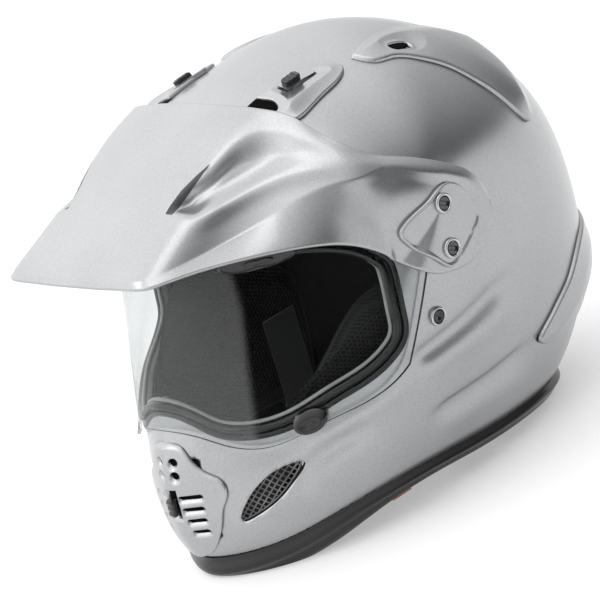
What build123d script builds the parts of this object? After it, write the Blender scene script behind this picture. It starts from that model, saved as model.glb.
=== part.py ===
"""A dual sport helmet: a full-face shell with an eye port, a clear face shield, a long
sun peak, vents, and the linings inside.

Millimetres. The helmet faces -Y, the wearer's left is +X and up is +Z. The pieces are
worked out about the upper side screws, whose axis runs along X, and are then lifted so
that the helmet stands on its lower edge at height zero. Places are written as side,
front and height: side is X, front is -Y, height is Z above the upper screws.
"""
import os
from functools import lru_cache
from math import atan2, cos, degrees, hypot, radians, sin

from build123d import *

# The shell. Outlines seen from the side are shares of the head's half length.
head = 100.0
half_width = 119.0
shell_wall = 4.0
liner_clearance = 0.3
overrun = 40.0
core = 50.0
halving_steps = 30

# Soft grooves along the sides of the shell
groove_depth = 2.2
groove_lift = 1.2
groove_half_width = 12.0

# Where the whole helmet stands
screw_height = 165.75
screw_setback = -1.89
rest_tilt = -2.36

# The eye port and its rubber
gasket_lip = 6.0
gasket_depth = 11.0
gasket_proud = 1.2

# The lower edge
trim_drop = 7.0
trim_forward = 3.0
trim_depth = 5.5

# Face shield, turning on the lower side screws
pivot_front = 4.0
pivot_drop = 25.0
screw_places = ((0, 0), (pivot_front, -pivot_drop))
shield_gap = 3.0
shield_flare = 6.0
shield_turn = 12.0
shield_wall = 2.2
shield_ear = 16.0
shield_bush = 8.0
turning_clearance = 0.3
stud_clearance = 2.0

# Peak, its arms and the plates over them
arm_gap = 7.0
arm_wall = 2.5
peak_wall = 2.6
peak_clearance = 0.8
panel_backing = 2.2
panel_lift = 12.0
plate_wall = 2.4
seat_clearance = 0.1

# Coin-slot screws
screw_head_radius = 5.8
screw_head_height = 1.6
screw_radius = 2.5
screw_hole_clearance = 0.2
screw_length = 14.0
coin_slot_width = 1.6
coin_slot_depth = 0.8

# Top vents
duct_height = 6.0
duct_wall = 1.6
duct_seat = 0.2
slider_width = 7.0
slider_length = 13.0
slider_travel = 7.0
slider_proud = 1.8
slider_clearance = 0.3

# Covers behind
rear_duct_height = 6.5
rear_hole_length = 15.0
rear_hole_width = 6.0
vent_bore = 6.5
cowl_height = 5.5

# Chin
vent_cover_height = 3.2
vent_slot_width = 3.0
vent_slot_length = 14.0
vent_slot_pitch = 7.0
vent_slot_start = 5.4
vent_slot_step = 0.7
vent_slot_count = 4
vent_hole_radius = 2.6
vent_hole_spread = 5.2
toggle_width = 6.0
toggle_height = 11.0
toggle_travel = 5.0
toggle_proud = 4.0
toggle_round = 1.2
shutter_wall = 2.0
shutter_border = 4.0
toggle_clearance = 0.3
grille_recess = 1.4
grille_wall = 1.4
grille_bar = 1.2
grille_pitch = 6.0

# Studs behind the shield's lower corner
stud_radius = 5.4
stud_proud = 2.6
stud_ring_wall = 1.2
stud_dome = 3.6

# Shield fittings
tab_radius = 8.0
tab_height = 4.0
brow_length = 38.0
brow_width = 9.0
brow_wall = 1.6
brow_gap = 0.6

# Linings
cavity_half_width = 82.0
cavity_half_length = 102.0
cavity_half_height = 78.0
cavity_front = -8.0
cavity_height = -25.0
comfort_wall = 5.0
pad_outer_gap = 13.0
roll_radius = 11.0
roll_half_width = 64.0
roll_half_length = 79.0
roll_front = -12.0
roll_height = -147.0
roll_web_height = -141.5
roll_web_wall = 3.0

# Chin strap
strap_width = 24.0
strap_wall = 1.8
anchor_radius = 6.0
ring_wire = 2.0
ring_half_width = 15.0
ring_drop = 21.0
ring_gap = 0.6
loop_wall = 1.0
tab_width = 14.0
tab_drop = 21.0
tab_wall = 1.2

# Degrees up from straight ahead, reach of the shell there as a share of the head's half
# length, and how square the shell is across, as the power of a superellipse
SIDE_SHARES = (
    (-180, 1.57, 2.20), (-160, 1.72, 2.30), (-140, 1.87, 2.45), (-120, 1.89, 2.70),
    (-100, 1.83, 2.85), (-80, 1.85, 2.70), (-60, 2.09, 2.15), (-48, 2.10, 1.72),
    (-36, 1.77, 1.48), (-24, 1.38, 1.56), (-12, 1.14, 1.69), (0, 1.06, 1.81),
    (20, 1.01, 1.99), (40, 0.96, 2.08), (60, 0.88, 2.05), (80, 0.83, 2.00),
    (100, 0.86, 2.00), (120, 0.99, 2.00), (140, 1.15, 2.00), (160, 1.35, 2.10),
)
SECTION_DEGREES = (-79, -70, -60, -49, -38, -27, -17, -8, 0, 8, 17, 27, 38, 49, 60, 70, 79)

# Lower edge of the shell and of its rubber, front and height as shares of the head
RIM_SHARES = (
    (1.90, -1.65), (1.40, -1.605), (1.15, -1.56), (0.93, -1.49), (0.67, -1.44),
    (0.40, -1.43), (0.00, -1.45), (-0.40, -1.47), (-0.80, -1.50), (-1.20, -1.56),
    (-1.90, -1.70),
)
TRIM_SHARES = (
    (1.90, -1.79), (1.40, -1.75), (1.15, -1.69), (0.93, -1.61), (0.67, -1.53),
    (0.40, -1.50), (0.00, -1.52), (-0.40, -1.54), (-0.80, -1.58), (-1.20, -1.64),
    (-1.90, -1.79),
)

# Half of the eye port seen from the front: side as a share of the half width, height as
# a share of the head
PORT_SHARES = (
    (0.00, -0.71), (0.16, -0.76), (0.29, -0.85), (0.45, -0.90), (0.62, -0.88),
    (0.76, -0.81), (0.87, -0.75), (0.93, -0.66), (0.95, -0.50), (0.945, -0.36),
    (0.925, -0.22), (0.895, -0.10), (0.84, 0.00), (0.74, 0.065), (0.52, 0.095),
    (0.26, 0.10), (0.00, 0.10),
)
PORT_BACK_SHARE = 0.15

# Face shield seen from the side, front and height as shares of the head: the upper edge
# from the ear forwards, then the lower edge back to the ear
SHIELD_TOP_SHARES = (
    (0.04, -0.10), (0.18, -0.04), (0.32, 0.02), (0.52, 0.08), (0.72, 0.12),
    (0.95, 0.14), (1.18, 0.14), (1.60, 0.14),
)
SHIELD_LOW_SHARES = (
    (1.60, -0.76), (1.39, -0.78), (1.33, -0.83), (1.26, -0.91), (1.18, -0.955),
    (1.05, -0.95), (0.91, -0.91), (0.70, -0.87), (0.52, -0.81), (0.36, -0.70),
    (0.24, -0.60), (0.15, -0.53), (0.02, -0.45), (-0.07, -0.38),
)

# Lines of the shell's grooves in the side view, front to back, and how the depth fades
GROOVE_SHARES = (
    ((0.46, -0.805), (0.33, -0.765), (0.18, -0.738), (0.02, -0.70), (-0.13, -0.672),
     (-0.30, -0.635), (-0.44, -0.60)),
    ((0.40, -1.165), (0.25, -1.145), (0.10, -1.13), (-0.06, -1.118), (-0.23, -1.105),
     (-0.40, -1.088), (-0.56, -1.075)),
)
GROOVE_DEPTH_SHARES = (0.1, 0.7, 1.0, 1.0, 1.0, 0.7, 0.1)

# Peak: upright cuts from the middle plane to the arm. Each has where it starts at the
# rear edge and where it ends (side as a share of the half width, front as a share of
# the head), and then its outer face as a share of the way along and a height share
PEAK_SHARES = (
    ((0.00, 0.53, 0.00, 1.575),
     ((0.0, 0.82), (0.24, 0.70), (0.49, 0.55), (0.745, 0.385), (0.985, 0.228), (1.0, 0.20))),
    ((0.17, 0.53, 0.18, 1.575),
     ((0.0, 0.815), (0.24, 0.70), (0.49, 0.55), (0.745, 0.385), (0.985, 0.23), (1.0, 0.20))),
    ((0.30, 0.51, 0.36, 1.575),
     ((0.0, 0.80), (0.24, 0.69), (0.49, 0.54), (0.745, 0.38), (0.985, 0.235), (1.0, 0.205))),
    ((0.40, 0.48, 0.54, 1.56),
     ((0.0, 0.78), (0.24, 0.67), (0.47, 0.52), (0.74, 0.37), (0.965, 0.25), (1.0, 0.215))),
    ((0.49, 0.45, 0.66, 1.30),
     ((0.0, 0.755), (0.25, 0.65), (0.50, 0.48), (0.68, 0.335), (0.80, 0.24), (1.0, 0.20))),
    ((0.57, 0.41, 0.80, 0.98),
     ((0.0, 0.72), (0.20, 0.63), (0.45, 0.48), (0.72, 0.28), (0.86, 0.215), (1.0, 0.155))),
    ((0.67, 0.38, 0.905, 0.71),
     ((0.0, 0.67), (0.20, 0.61), (0.50, 0.475), (0.77, 0.335), (0.88, 0.21), (1.0, 0.085))),
    ((0.78, 0.36, 0.97, 0.50),
     ((0.0, 0.58), (0.20, 0.54), (0.55, 0.445), (0.85, 0.34), (0.93, 0.18), (1.0, -0.02))),
    ((0.89, 0.31, 1.015, 0.38),
     ((0.0, 0.48), (0.25, 0.44), (0.55, 0.39), (0.80, 0.32), (0.90, 0.12), (1.0, -0.14))),
)
PEAK_ROOM_SHARES = (0.10, 0.22)

# Sunk panel each side of the peak: cuts from front to back, each with where it starts
# beside the crest, where it ends (side, front and height, shares of the head) and how
# deep it is near each end
PANEL_SHARES = (
    ((0.475, 1.130, 0.468), (0.510, 1.161, 0.445), (0.010, 0.006)),
    ((0.507, 1.013, 0.522), (0.647, 1.136, 0.405), (0.040, 0.026)),
    ((0.563, 0.837, 0.602), (0.702, 0.966, 0.400), (0.026, 0.022)),
    ((0.608, 0.650, 0.674), (0.761, 0.797, 0.422), (0.014, 0.026)),
    ((0.710, 0.480, 0.668), (0.854, 0.650, 0.450), (0.004, 0.010)),
    ((0.860, 0.430, 0.600), (0.940, 0.560, 0.470), (0.001, 0.002)),
)
PANEL_END_SHARES = (0.22, 0.78)
ARM_SHARES = (
    (0.37, 0.45), (0.22, 0.385), (0.05, 0.29), (-0.12, 0.19), (-0.27, 0.07),
    (-0.35, -0.07), (-0.35, -0.20), (-0.26, -0.315), (-0.08, -0.375), (0.06, -0.37),
    (0.19, -0.32), (0.29, -0.23), (0.40, -0.10), (0.44, 0.04), (0.43, 0.24),
)
PLATE_SHARES = (
    (0.29, -0.05), (0.24, 0.00), (0.08, 0.055), (-0.07, 0.09), (-0.13, 0.06),
    (-0.20, -0.08), (-0.215, -0.17), (-0.16, -0.23), (0.00, -0.33), (0.08, -0.345),
    (0.14, -0.29), (0.27, -0.12),
)

# Covers: side as a share of the half width, front and height as shares of the head
TOP_DUCT_SHARES = (
    (0.345, 0.40), (0.345, 0.28), (0.37, 0.11), (0.41, -0.06), (0.46, -0.15),
    (0.52, -0.16), (0.56, -0.10), (0.585, 0.06), (0.605, 0.20), (0.605, 0.31), (0.48, 0.40),
)
DUCT_CENTRE_SHARES = (0.43, 0.12)
DUCT_HOLE_SHARES = (0.43, 0.07)
REAR_DUCT_SIDE_SHARES = (
    (-0.24, 0.80), (-0.27, 0.72), (-0.43, 0.67), (-0.58, 0.59), (-0.70, 0.49),
    (-0.79, 0.37), (-0.89, 0.21), (-1.04, 0.02), (-1.14, 0.10), (-1.22, 0.34),
    (-1.10, 0.75), (-0.85, 1.00), (-0.50, 1.02),
)
REAR_DUCT_TOP_SHARES = (
    (0.50, -0.24), (0.46, -0.38), (0.40, -0.62), (0.35, -0.86), (0.33, -1.10),
    (0.40, -1.40), (1.10, -1.40), (1.10, -0.24),
)
REAR_HOLE_SHARES = (0.56, -0.53)
COWL_SHARES = (
    (-0.52, -1.11), (-0.63, -1.03), (-0.79, -0.955), (-0.91, -0.905), (-1.02, -0.84),
    (-1.11, -0.79), (-1.22, -0.755), (-1.42, -0.74), (-1.75, -0.74), (-1.75, -0.95),
    (-1.30, -1.10), (-1.00, -1.165), (-0.80, -1.185), (-0.60, -1.165),
)
COWL_INNER_SHARE = 0.30
VENT_COVER_SHARES = (
    (0.00, -0.86), (0.10, -0.885), (0.15, -0.97), (0.21, -1.04), (0.275, -1.10),
    (0.285, -1.17), (0.25, -1.25), (0.22, -1.34), (0.175, -1.43), (0.11, -1.51),
    (0.00, -1.545),
)
GRILLE_SHARES = (
    (0.30, -1.37), (0.355, -1.245), (0.435, -1.15), (0.52, -1.10), (0.595, -1.10),
    (0.56, -1.18), (0.465, -1.29), (0.38, -1.345),
)
STUD_SHARES = (0.18, -0.60)
TAB_SHARES = (0.68, -0.87)
BROW_SHARES = (0.60, 0.045)
VENT_HOLE_SHARES = (-0.96, -1.035)
VENT_SLOT_SHARE = -1.165
TOGGLE_SHARE = -1.22

# Cheek pad seen from the side, and its growth from the shell inwards
PAD_SHARES = (
    (-0.26, -0.56), (-0.05, -0.44), (0.16, -0.33), (0.34, -0.28), (0.50, -0.36),
    (0.70, -0.60), (0.90, -0.86), (0.98, -1.02), (0.90, -1.20), (0.62, -1.32),
    (0.20, -1.345), (-0.18, -1.33), (-0.30, -1.00),
)
PAD_CENTRE_SHARES = (0.30, -0.90)
PAD_LAYER_SHARES = ((0.93, 0.94), (0.80, 1.00), (0.64, 0.95), (0.53, 0.83), (0.46, 0.60))
LINER_LOW_SHARE = -0.30
LINER_BACK_SHARE = -0.345
FACE_SHARES = (
    (0.00, 1.13), (0.30, 1.06), (0.48, 0.86), (0.57, 0.50), (0.60, 0.00), (0.50, -0.40),
    (0.00, -0.60),
)
CHIN_LINER_SHARES = ((1.02, -0.98), (1.02, -1.40), (1.10, -1.46), (1.60, -1.46), (1.60, -0.86),
                     (1.20, -0.98))

# Chin strap seen from the front, side as a share of the half width
STRAP_SHARES = (
    (0.72, -1.36), (0.67, -1.42), (0.60, -1.465), (0.51, -1.48), (0.43, -1.44),
    (0.385, -1.36), (0.36, -1.24), (0.345, -1.12), (0.335, -0.98),
)
LONG_STRAP_SHARES = STRAP_SHARES + ((0.325, -0.84), (0.315, -0.70))
STRAP_FRONT_SHARE = 0.14
RELEASE_SHARES = (0.615, 0.50, -1.312)


def place(side, front, height):
    """A point from its side, front and height."""
    return Vector(side, -front, height)


def reach_at(angle, grow):
    """Reach and squareness of the form at an angle, straight between the table's rows."""
    rows = SIDE_SHARES + ((180,) + SIDE_SHARES[0][1:],)
    for low, high in zip(rows, rows[1:]):
        if low[0] <= angle <= high[0]:
            share = (angle - low[0]) / (high[0] - low[0])
            reach = low[1] + (high[1] - low[1]) * share
            return reach * head + grow, low[2] + (high[2] - low[2]) * share


def side_on_form(front, height, grow=0.0, flare=None):
    """How far out to the side the form lies at a front and a height."""
    reach, power = reach_at(degrees(atan2(height, front)), grow if flare is None else flare)
    inward = min(hypot(front, height) / reach, 1.0)
    share = min((1 - inward**power) ** (1 / power), sin(radians(SECTION_DEGREES[-1])))
    return (half_width + grow) * share


def front_on_form(side, height, grow=0.0, flare=None):
    """How far forward the form lies at a side and a height, by halving the range."""
    near, far = 0.0, 2 * head + grow
    for _ in range(halving_steps):
        middle = (near + far) / 2
        if side_on_form(middle, height, grow, flare) > side:
            near = middle
        else:
            far = middle
    return near


@lru_cache(maxsize=None)
def form(grow, flare=None):
    """The helmet's outer form, grown all round, as a loft of cuts parallel to the middle
    plane. A cut is the side profile drawn in by the superellipse of each direction. With
    a flare the profile grows by that instead, and the sides by the first amount."""
    sections = []
    for tilt in SECTION_DEGREES:
        share = sin(radians(tilt))
        points = []
        for angle, reach_share, power in SIDE_SHARES:
            reach = reach_share * head + (grow if flare is None else flare)
            radius = reach * (1 - abs(share) ** power) ** (1 / power)
            front, height = radius * cos(radians(angle)), radius * sin(radians(angle))
            points.append(place(share * (half_width + grow), front, height))
        sections.append(Wire([Edge.make_spline(points, periodic=True)]))
    return Solid.make_loft(sections)


def closed_face(points, smooth=True):
    """A flat face inside a closed line through points."""
    if smooth:
        return Face(Wire([Edge.make_spline(points, periodic=True)]))
    return Face(Wire.make_polygon(points, close=True))


def side_prism(shares, low, high, smooth=True):
    """An outline seen from the side, run along X from low to high."""
    points = [place(low, front * head, height * head) for front, height in shares]
    return Solid.extrude(closed_face(points, smooth), Vector(high - low, 0, 0))


def front_prism(shares, near, far, smooth=True):
    """An outline seen from the front, run forwards from near to far."""
    points = [place(side * half_width, near, height * head) for side, height in shares]
    return Solid.extrude(closed_face(points, smooth), Vector(0, near - far, 0))


def top_prism(shares, low, high, smooth=True):
    """An outline seen from above, run upwards from low to high."""
    points = [place(side * half_width, front * head, low) for side, front in shares]
    return Solid.extrude(closed_face(points, smooth), Vector(0, 0, high - low))


def whole(half_shares):
    """A half outline and its mirror image, as one closed run of points."""
    return half_shares + tuple((-side, height) for side, height in half_shares[-2:0:-1])


def below(line_shares):
    """Everything below a line drawn in the side view."""
    reach = half_width + overrun
    points = [place(-reach, front * head, height * head) for front, height in line_shares]
    depth = -screw_height - overrun
    low_back = place(-reach, points[-1].Y * -1, depth)
    low_front = place(-reach, points[0].Y * -1, depth)
    edges = [Edge.make_spline(points), Edge.make_line(points[-1], low_back),
             Edge.make_line(low_back, low_front), Edge.make_line(low_front, points[0])]
    return Solid.extrude(Face(Wire(edges)), Vector(2 * reach, 0, 0))


def box(side, front, height):
    """A box from three low and high pairs."""
    corner = place(side[0], front[1], height[0])
    solid = Solid.make_box(side[1] - side[0], front[1] - front[0], height[1] - height[0])
    return solid.moved(Location(corner))


def rod(start, along, length, radius):
    """A round rod."""
    return Solid.make_cylinder(radius, length, Plane(origin=start, z_dir=along))


def across(front, height, low, high, radius):
    """A rod parallel to the X axis."""
    return rod(place(low, front, height), Vector(1, 0, 0), high - low, radius)


def mirrored(shape):
    """The same piece for the wearer's right."""
    return shape.mirror(Plane.YZ)


def solids(shape):
    """The solids of a shape, largest first."""
    return sorted(shape.solids(), key=lambda solid: solid.volume, reverse=True)


def largest(shape):
    """The main solid of a cut, without slivers."""
    return solids(shape)[0]


def port_prism(border=0.0):
    """The eye port, wider all round by a border."""
    prism = front_prism(whole(PORT_SHARES), PORT_BACK_SHARE * head, 2 * head)
    if not border:
        return prism
    middle = sum(height for _, height in PORT_SHARES) / len(PORT_SHARES)
    wider = []
    for side, height in whole(PORT_SHARES):
        out = Vector(side * half_width, (height - middle) * head)
        out = out * (1 + border / out.length)
        wider.append((out.X / half_width, out.Y / head + middle))
    return front_prism(wider, PORT_BACK_SHARE * head, 2 * head)


def make_groove(line_shares):
    """What a soft groove takes from the shell: a flat vee that fades at both ends."""
    cuts = []
    for (front_share, height_share), depth_share in zip(line_shares, GROOVE_DEPTH_SHARES):
        front, height = front_share * head, height_share * head
        low, high = height - groove_half_width, height + groove_half_width
        cuts.append(Wire.make_polygon([
            place(side_on_form(front, low, groove_lift), front, low),
            place(side_on_form(front, height, -groove_depth * depth_share), front, height),
            place(side_on_form(front, high, groove_lift), front, high)], close=True))
    return Solid.make_loft(cuts, ruled=True)


def make_shell():
    """Outer shell: the form hollowed, with the port, neck, vents and grille openings."""
    shell = (form(0.0) - below(RIM_SHARES) - port_prism()) - form(-shell_wall)
    for line_shares in GROOVE_SHARES:
        groove = make_groove(line_shares)
        shell = shell - groove - mirrored(groove)
    for side in (1, -1):
        shell -= front_prism([(side * s, h) for s, h in GRILLE_SHARES], core, 2 * head)
        for share, front in (DUCT_HOLE_SHARES, REAR_HOLE_SHARES):
            hole = place(side * share * half_width, front * head, core)
            shell -= rod(hole, Vector(0, 0, 1), head, vent_bore)
    for front, height in screw_places:
        shell -= across(front, height, -half_width, half_width, screw_radius
                        + screw_hole_clearance)
    return largest(shell - shutter_window(toggle_clearance))


def shutter_window(clearance):
    """The chin inlet that the shutter slides in."""
    half = toggle_width / 2 + shutter_border + clearance
    middle = TOGGLE_SHARE * head
    tall = toggle_height / 2 + shutter_border + clearance
    return box((-half, half), (head, 2 * head), (middle - tall, middle + tall + toggle_travel))


def make_edge_trim():
    """Rubber round the lower edge, deeper under the chin: a wall of the form, lowered so
    that it runs on below the shell's edge and stands a little proud of it."""
    down = Location(place(0, trim_forward, -trim_drop))
    band = form(0.0).moved(down) & below(RIM_SHARES)
    band = band - form(-trim_depth).moved(down) - below(TRIM_SHARES)
    return largest(band)


def make_gasket():
    """Rubber round the eye port, lining the shell's edge and the liner behind it."""
    ring = form(gasket_proud) & port_prism()
    inner = port_prism(-gasket_lip)
    return largest(ring - form(-gasket_depth) - inner)


def cavity(grow=0.0):
    """The space for the head: an egg on an oval column that runs out at the neck."""
    wide = cavity_half_width + grow
    long = cavity_half_length + grow
    tall = cavity_half_height + grow
    egg = Solid.make_sphere(1.0, angle1=-90, angle2=90, angle3=360)
    egg = egg.transform_geometry(Matrix([[wide, 0, 0, 0], [0, long, 0, 0], [0, 0, tall, 0]]))
    egg = egg.moved(Location(place(0, cavity_front, cavity_height)))
    oval = Face(Wire([Edge.make_ellipse(long, wide, Plane(origin=(0, 0, 0), x_dir=(0, 1, 0),
                                                          z_dir=(0, 0, 1)))]))
    column = Solid.extrude(oval, Vector(0, 0, -screw_height - overrun))
    column = column.moved(Location(place(0, cavity_front, cavity_height)))
    return egg.fuse(column)


def make_crown_liner():
    """Energy-absorbing foam over the crown and down behind the head."""
    foam = form(-shell_wall - liner_clearance) - cavity(comfort_wall + liner_clearance)
    foam -= port_prism(gasket_lip)
    reach = half_width + overrun
    foam -= box((-reach, reach), (-2 * head, 2 * head),
                (-2 * screw_height, roll_web_height + roll_web_wall))
    cheeks = box((-reach, reach), (LINER_BACK_SHARE * head, 2 * head),
                 (-screw_height, LINER_LOW_SHARE * head))
    return largest(foam - cheeks)


def make_comfort_liner():
    """Fabric-covered foam between the crown liner and the head."""
    pad = cavity(comfort_wall) - cavity()
    reach = half_width + overrun
    low = box((-reach, reach), (-2 * head, 2 * head), (-2 * screw_height, LINER_LOW_SHARE * head))
    front = port_prism(gasket_lip)
    return largest(pad - low - front)


def make_chin_liner():
    """Foam inside the chin bar."""
    reach = half_width + overrun
    bar = form(-shell_wall - liner_clearance) & side_prism(CHIN_LINER_SHARES, -reach, reach,
                                                           smooth=False)
    bar -= top_prism(whole(FACE_SHARES), -screw_height, 0)
    return largest(bar - port_prism(gasket_lip) - shutter_window(shutter_border))


def make_cheek_pad():
    """A crowned pad between the shell and the cheek, widest a little inside the shell."""
    sections = []
    centre_front, centre_height = PAD_CENTRE_SHARES
    for side_share, size_share in PAD_LAYER_SHARES:
        points = []
        for front, height in PAD_SHARES:
            points.append(place(side_share * half_width,
                                (centre_front + (front - centre_front) * size_share) * head,
                                (centre_height + (height - centre_height) * size_share) * head))
        sections.append(Wire([Edge.make_spline(points, periodic=True)]))
    pad = Solid.make_loft(sections)
    return largest(pad & form(-pad_outer_gap))


def make_neck_roll():
    """A padded roll round the back of the neck, on an oval, with the web that holds it to
    the shell."""
    middle = (roll_half_width + roll_half_length) / 2
    ring = Solid.make_torus(middle, roll_radius)
    wide, long = roll_half_width / middle, roll_half_length / middle
    ring = ring.transform_geometry(Matrix([[wide, 0, 0, 0], [0, long, 0, 0], [0, 0, 1, 0]]))
    ring = ring.moved(Location(place(0, roll_front, roll_height)))
    reach = half_width + overrun
    low, high = roll_web_height - roll_web_wall / 2, roll_web_height + roll_web_wall / 2
    web = form(-shell_wall - liner_clearance) & box((-reach, reach), (-2 * head, 0), (low, high))
    oval = Edge.make_ellipse(roll_half_length, roll_half_width,
                             Plane(origin=place(0, roll_front, low - roll_web_wall),
                                   x_dir=(0, 1, 0), z_dir=(0, 0, 1)))
    web -= Solid.extrude(Face(Wire([oval])), Vector(0, 0, 3 * roll_web_wall))
    ring -= box((-reach, reach), (-seat_clearance, 2 * head), (-2 * screw_height, 0))
    return largest(ring + web)


def make_face_shield():
    """Clear sheet over the eye port, with an ear round each lower screw."""
    reach = half_width + overrun
    front, height = pivot_front, -pivot_drop
    outline = [place(-reach, f * head, h * head) for f, h in SHIELD_TOP_SHARES]
    lower = [place(-reach, f * head, h * head) for f, h in SHIELD_LOW_SHARES]
    edges = [Edge.make_spline(outline), Edge.make_line(outline[-1], lower[0]),
             Edge.make_spline(lower), Edge.make_line(lower[-1], outline[0])]
    blade = Solid.extrude(Face(Wire(edges)), Vector(2 * reach, 0, 0))
    ears = across(front, height, -reach, reach, shield_ear)
    sheet = form(shield_gap + shield_wall, shield_flare + shield_wall)
    sheet = (sheet - form(shield_gap, shield_flare)) & (blade + ears)
    sheet -= across(front, height, -reach, reach, shield_bush + turning_clearance)
    stud_front, stud_height = STUD_SHARES[0] * head, STUD_SHARES[1] * head
    sheet -= across(stud_front, stud_height, -reach, reach, stud_radius + stud_clearance)
    return largest(sheet)


def make_pivot_base():
    """Spacer under the arm: a bush that the shield turns on and a post for the upper
    screw, joined by a web under the shield."""
    low, high = duct_seat, shield_gap - turning_clearance
    reach = half_width + overrun
    web = [place(half_width / 2, f, h) for f, h in (
        (-shield_bush, 0), (shield_bush, 0), (pivot_front + shield_bush, -pivot_drop),
        (pivot_front - shield_bush, -pivot_drop))]
    web = Solid.extrude(Face(Wire.make_polygon(web, close=True)), Vector(reach, 0, 0))
    for front, height in screw_places:
        web += across(front, height, half_width / 2, reach, shield_bush)
    base = (web & form(high)) - form(low)
    for front, height, radius in ((0, 0, screw_head_radius),
                                  (pivot_front, -pivot_drop, shield_bush)):
        post = across(front, height, half_width / 2, reach, radius)
        base += (post & form(arm_gap - seat_clearance)) - form(low)
    for front, height in screw_places:
        base -= across(front, height, 0, reach, screw_radius + screw_hole_clearance)
    return largest(base)


def peak_section(number, side):
    """One upright cut of the peak: its outer face, then back along its inner face."""
    (start_side, start_front, end_side, end_front), rows = PEAK_SHARES[number]
    start = Vector(side * start_side * half_width, -start_front * head)
    end = Vector(side * end_side * half_width, -end_front * head)
    along = end - start
    outer = [start + along * share + Vector(0, 0, height * head) for share, height in rows]
    inner = []
    for index, point in enumerate(outer):
        before = outer[max(index - 1, 0)]
        after = outer[min(index + 1, len(outer) - 1)]
        slope = (after - before).normalized()
        flat = along.normalized()
        inner.append(point - flat * peak_wall * -slope.Z - Vector(0, 0, 1) * peak_wall
                     * slope.dot(flat))
    edges = [Edge.make_spline(outer), Edge.make_line(outer[-1], inner[-1]),
             Edge.make_spline(inner[::-1]), Edge.make_line(inner[0], outer[0])]
    return Wire(edges)


def make_panel():
    """The sunk panel of the peak's left side: what it takes away above its floor, and
    the backing that keeps the peak's wall below it."""
    out = place(half_width / 2, half_width / 2, head).normalized()
    dents, backs = [], []
    for row in PANEL_SHARES:
        start, end = (place(*(share * head for share in point)) for point in row[:2])
        across_panel = end - start
        floor = [start + across_panel * share - out * depth * head
                 for share, depth in zip(PANEL_END_SHARES, row[2])]
        lift = out * panel_lift
        dents.append(Wire.make_polygon([start + lift, start, *floor, end, end + lift],
                                       close=True))
        back = out * panel_backing
        edge = across_panel.normalized() * panel_backing
        backs.append(Wire.make_polygon([start - edge - back, floor[0] - back,
                                        floor[1] - back, end + edge - back], close=True))
    dent, backing = (Solid.make_loft(cuts, ruled=True) for cuts in (dents, backs))
    return dent, backing - form(peak_clearance)


def make_peak():
    """Sun peak: a lofted blade with a sunk panel each side, and an arm each side that
    follows the shell. Both leave room for the shield, the blade where it is shut and the
    arm where it is open."""
    count = len(PEAK_SHARES)
    sections = [peak_section(n, -1) for n in range(count - 1, 0, -1)]
    sections += [peak_section(n, 1) for n in range(count)]
    dent, backing = make_panel()
    blade = Solid.make_loft(sections) + backing + mirrored(backing)
    blade = blade - dent - mirrored(dent)
    reach = half_width + overrun
    arm = (side_prism(ARM_SHARES, half_width / 2, reach) & form(arm_gap + arm_wall))
    arm -= form(arm_gap)
    for front, height in screw_places:
        arm -= across(front, height, 0, reach, screw_radius + screw_hole_clearance)
    room = form(shield_gap + shield_wall + peak_clearance,
                shield_flare + shield_wall + peak_clearance)
    low, high = PEAK_ROOM_SHARES
    room &= box((-reach, reach), (low * head, 2 * head), (-head, high * head))
    pivot = Axis(place(0, pivot_front, -pivot_drop), Vector(-1, 0, 0))
    arm -= room.rotate(pivot, shield_turn)
    return largest((blade - room) + arm + mirrored(arm))


def make_plate():
    """Cover plate over the end of the arm, under both screws."""
    reach = half_width + overrun
    low = arm_gap + arm_wall + seat_clearance
    plate = (side_prism(PLATE_SHARES, half_width / 2, reach) & form(low + plate_wall)) - form(low)
    for front, height in screw_places:
        plate -= across(front, height, 0, reach, screw_radius + screw_hole_clearance)
    return largest(plate)


def make_screws():
    """Four coin-slot screws, two a side."""
    low = arm_gap + arm_wall + plate_wall + 2 * seat_clearance
    screws = []
    for front, height in screw_places:
        seat = side_on_form(front, height, low)
        screw = across(front, height, seat, seat + screw_head_height, screw_head_radius)
        screw += across(front, height, seat - screw_length, seat, screw_radius)
        slot = Solid.make_box(screw_head_height, coin_slot_width, 2 * screw_head_radius)
        slot = slot.moved(Location(place(seat + screw_head_height - coin_slot_depth,
                                         front + coin_slot_width / 2,
                                         height - screw_head_radius)))
        screw = largest(screw - slot)
        screws += [screw, mirrored(screw)]
    return screws


def make_top_duct():
    """Hollow top vent: open to the front, with a slot for the slider."""
    cover = (top_prism(TOP_DUCT_SHARES, core, 2 * head) & form(duct_height))
    cover -= form(duct_seat)
    side, front = DUCT_CENTRE_SHARES[0] * half_width, DUCT_CENTRE_SHARES[1] * head
    inside = []
    middle_side = sum(s for s, _ in TOP_DUCT_SHARES) / len(TOP_DUCT_SHARES)
    middle_front = sum(f for _, f in TOP_DUCT_SHARES) / len(TOP_DUCT_SHARES)
    shrink = 1 - 2 * duct_wall / (slider_length + slider_travel)
    for s, f in TOP_DUCT_SHARES:
        inside.append((middle_side + (s - middle_side) * shrink,
                       middle_front + (f - middle_front) * shrink + duct_wall / head))
    cover -= top_prism(inside, core, 2 * head) & form(duct_height - duct_wall)
    half = slider_width / 2 + slider_clearance
    long = slider_length / 2 + slider_clearance
    cover -= box((side - half, side + half), (front - long - slider_travel, front + long),
                 (0, 2 * head))
    return largest(cover)


def make_top_slider():
    """Button that opens the top vent, standing through the slot."""
    side, front = DUCT_CENTRE_SHARES[0] * half_width, DUCT_CENTRE_SHARES[1] * head
    half, long = slider_width / 2, slider_length / 2
    button = box((side - half, side + half), (front - long, front + long), (0, 2 * head))
    button = (button & form(duct_height + slider_proud)) - form(duct_seat + slider_clearance)
    return largest(button)


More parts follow.
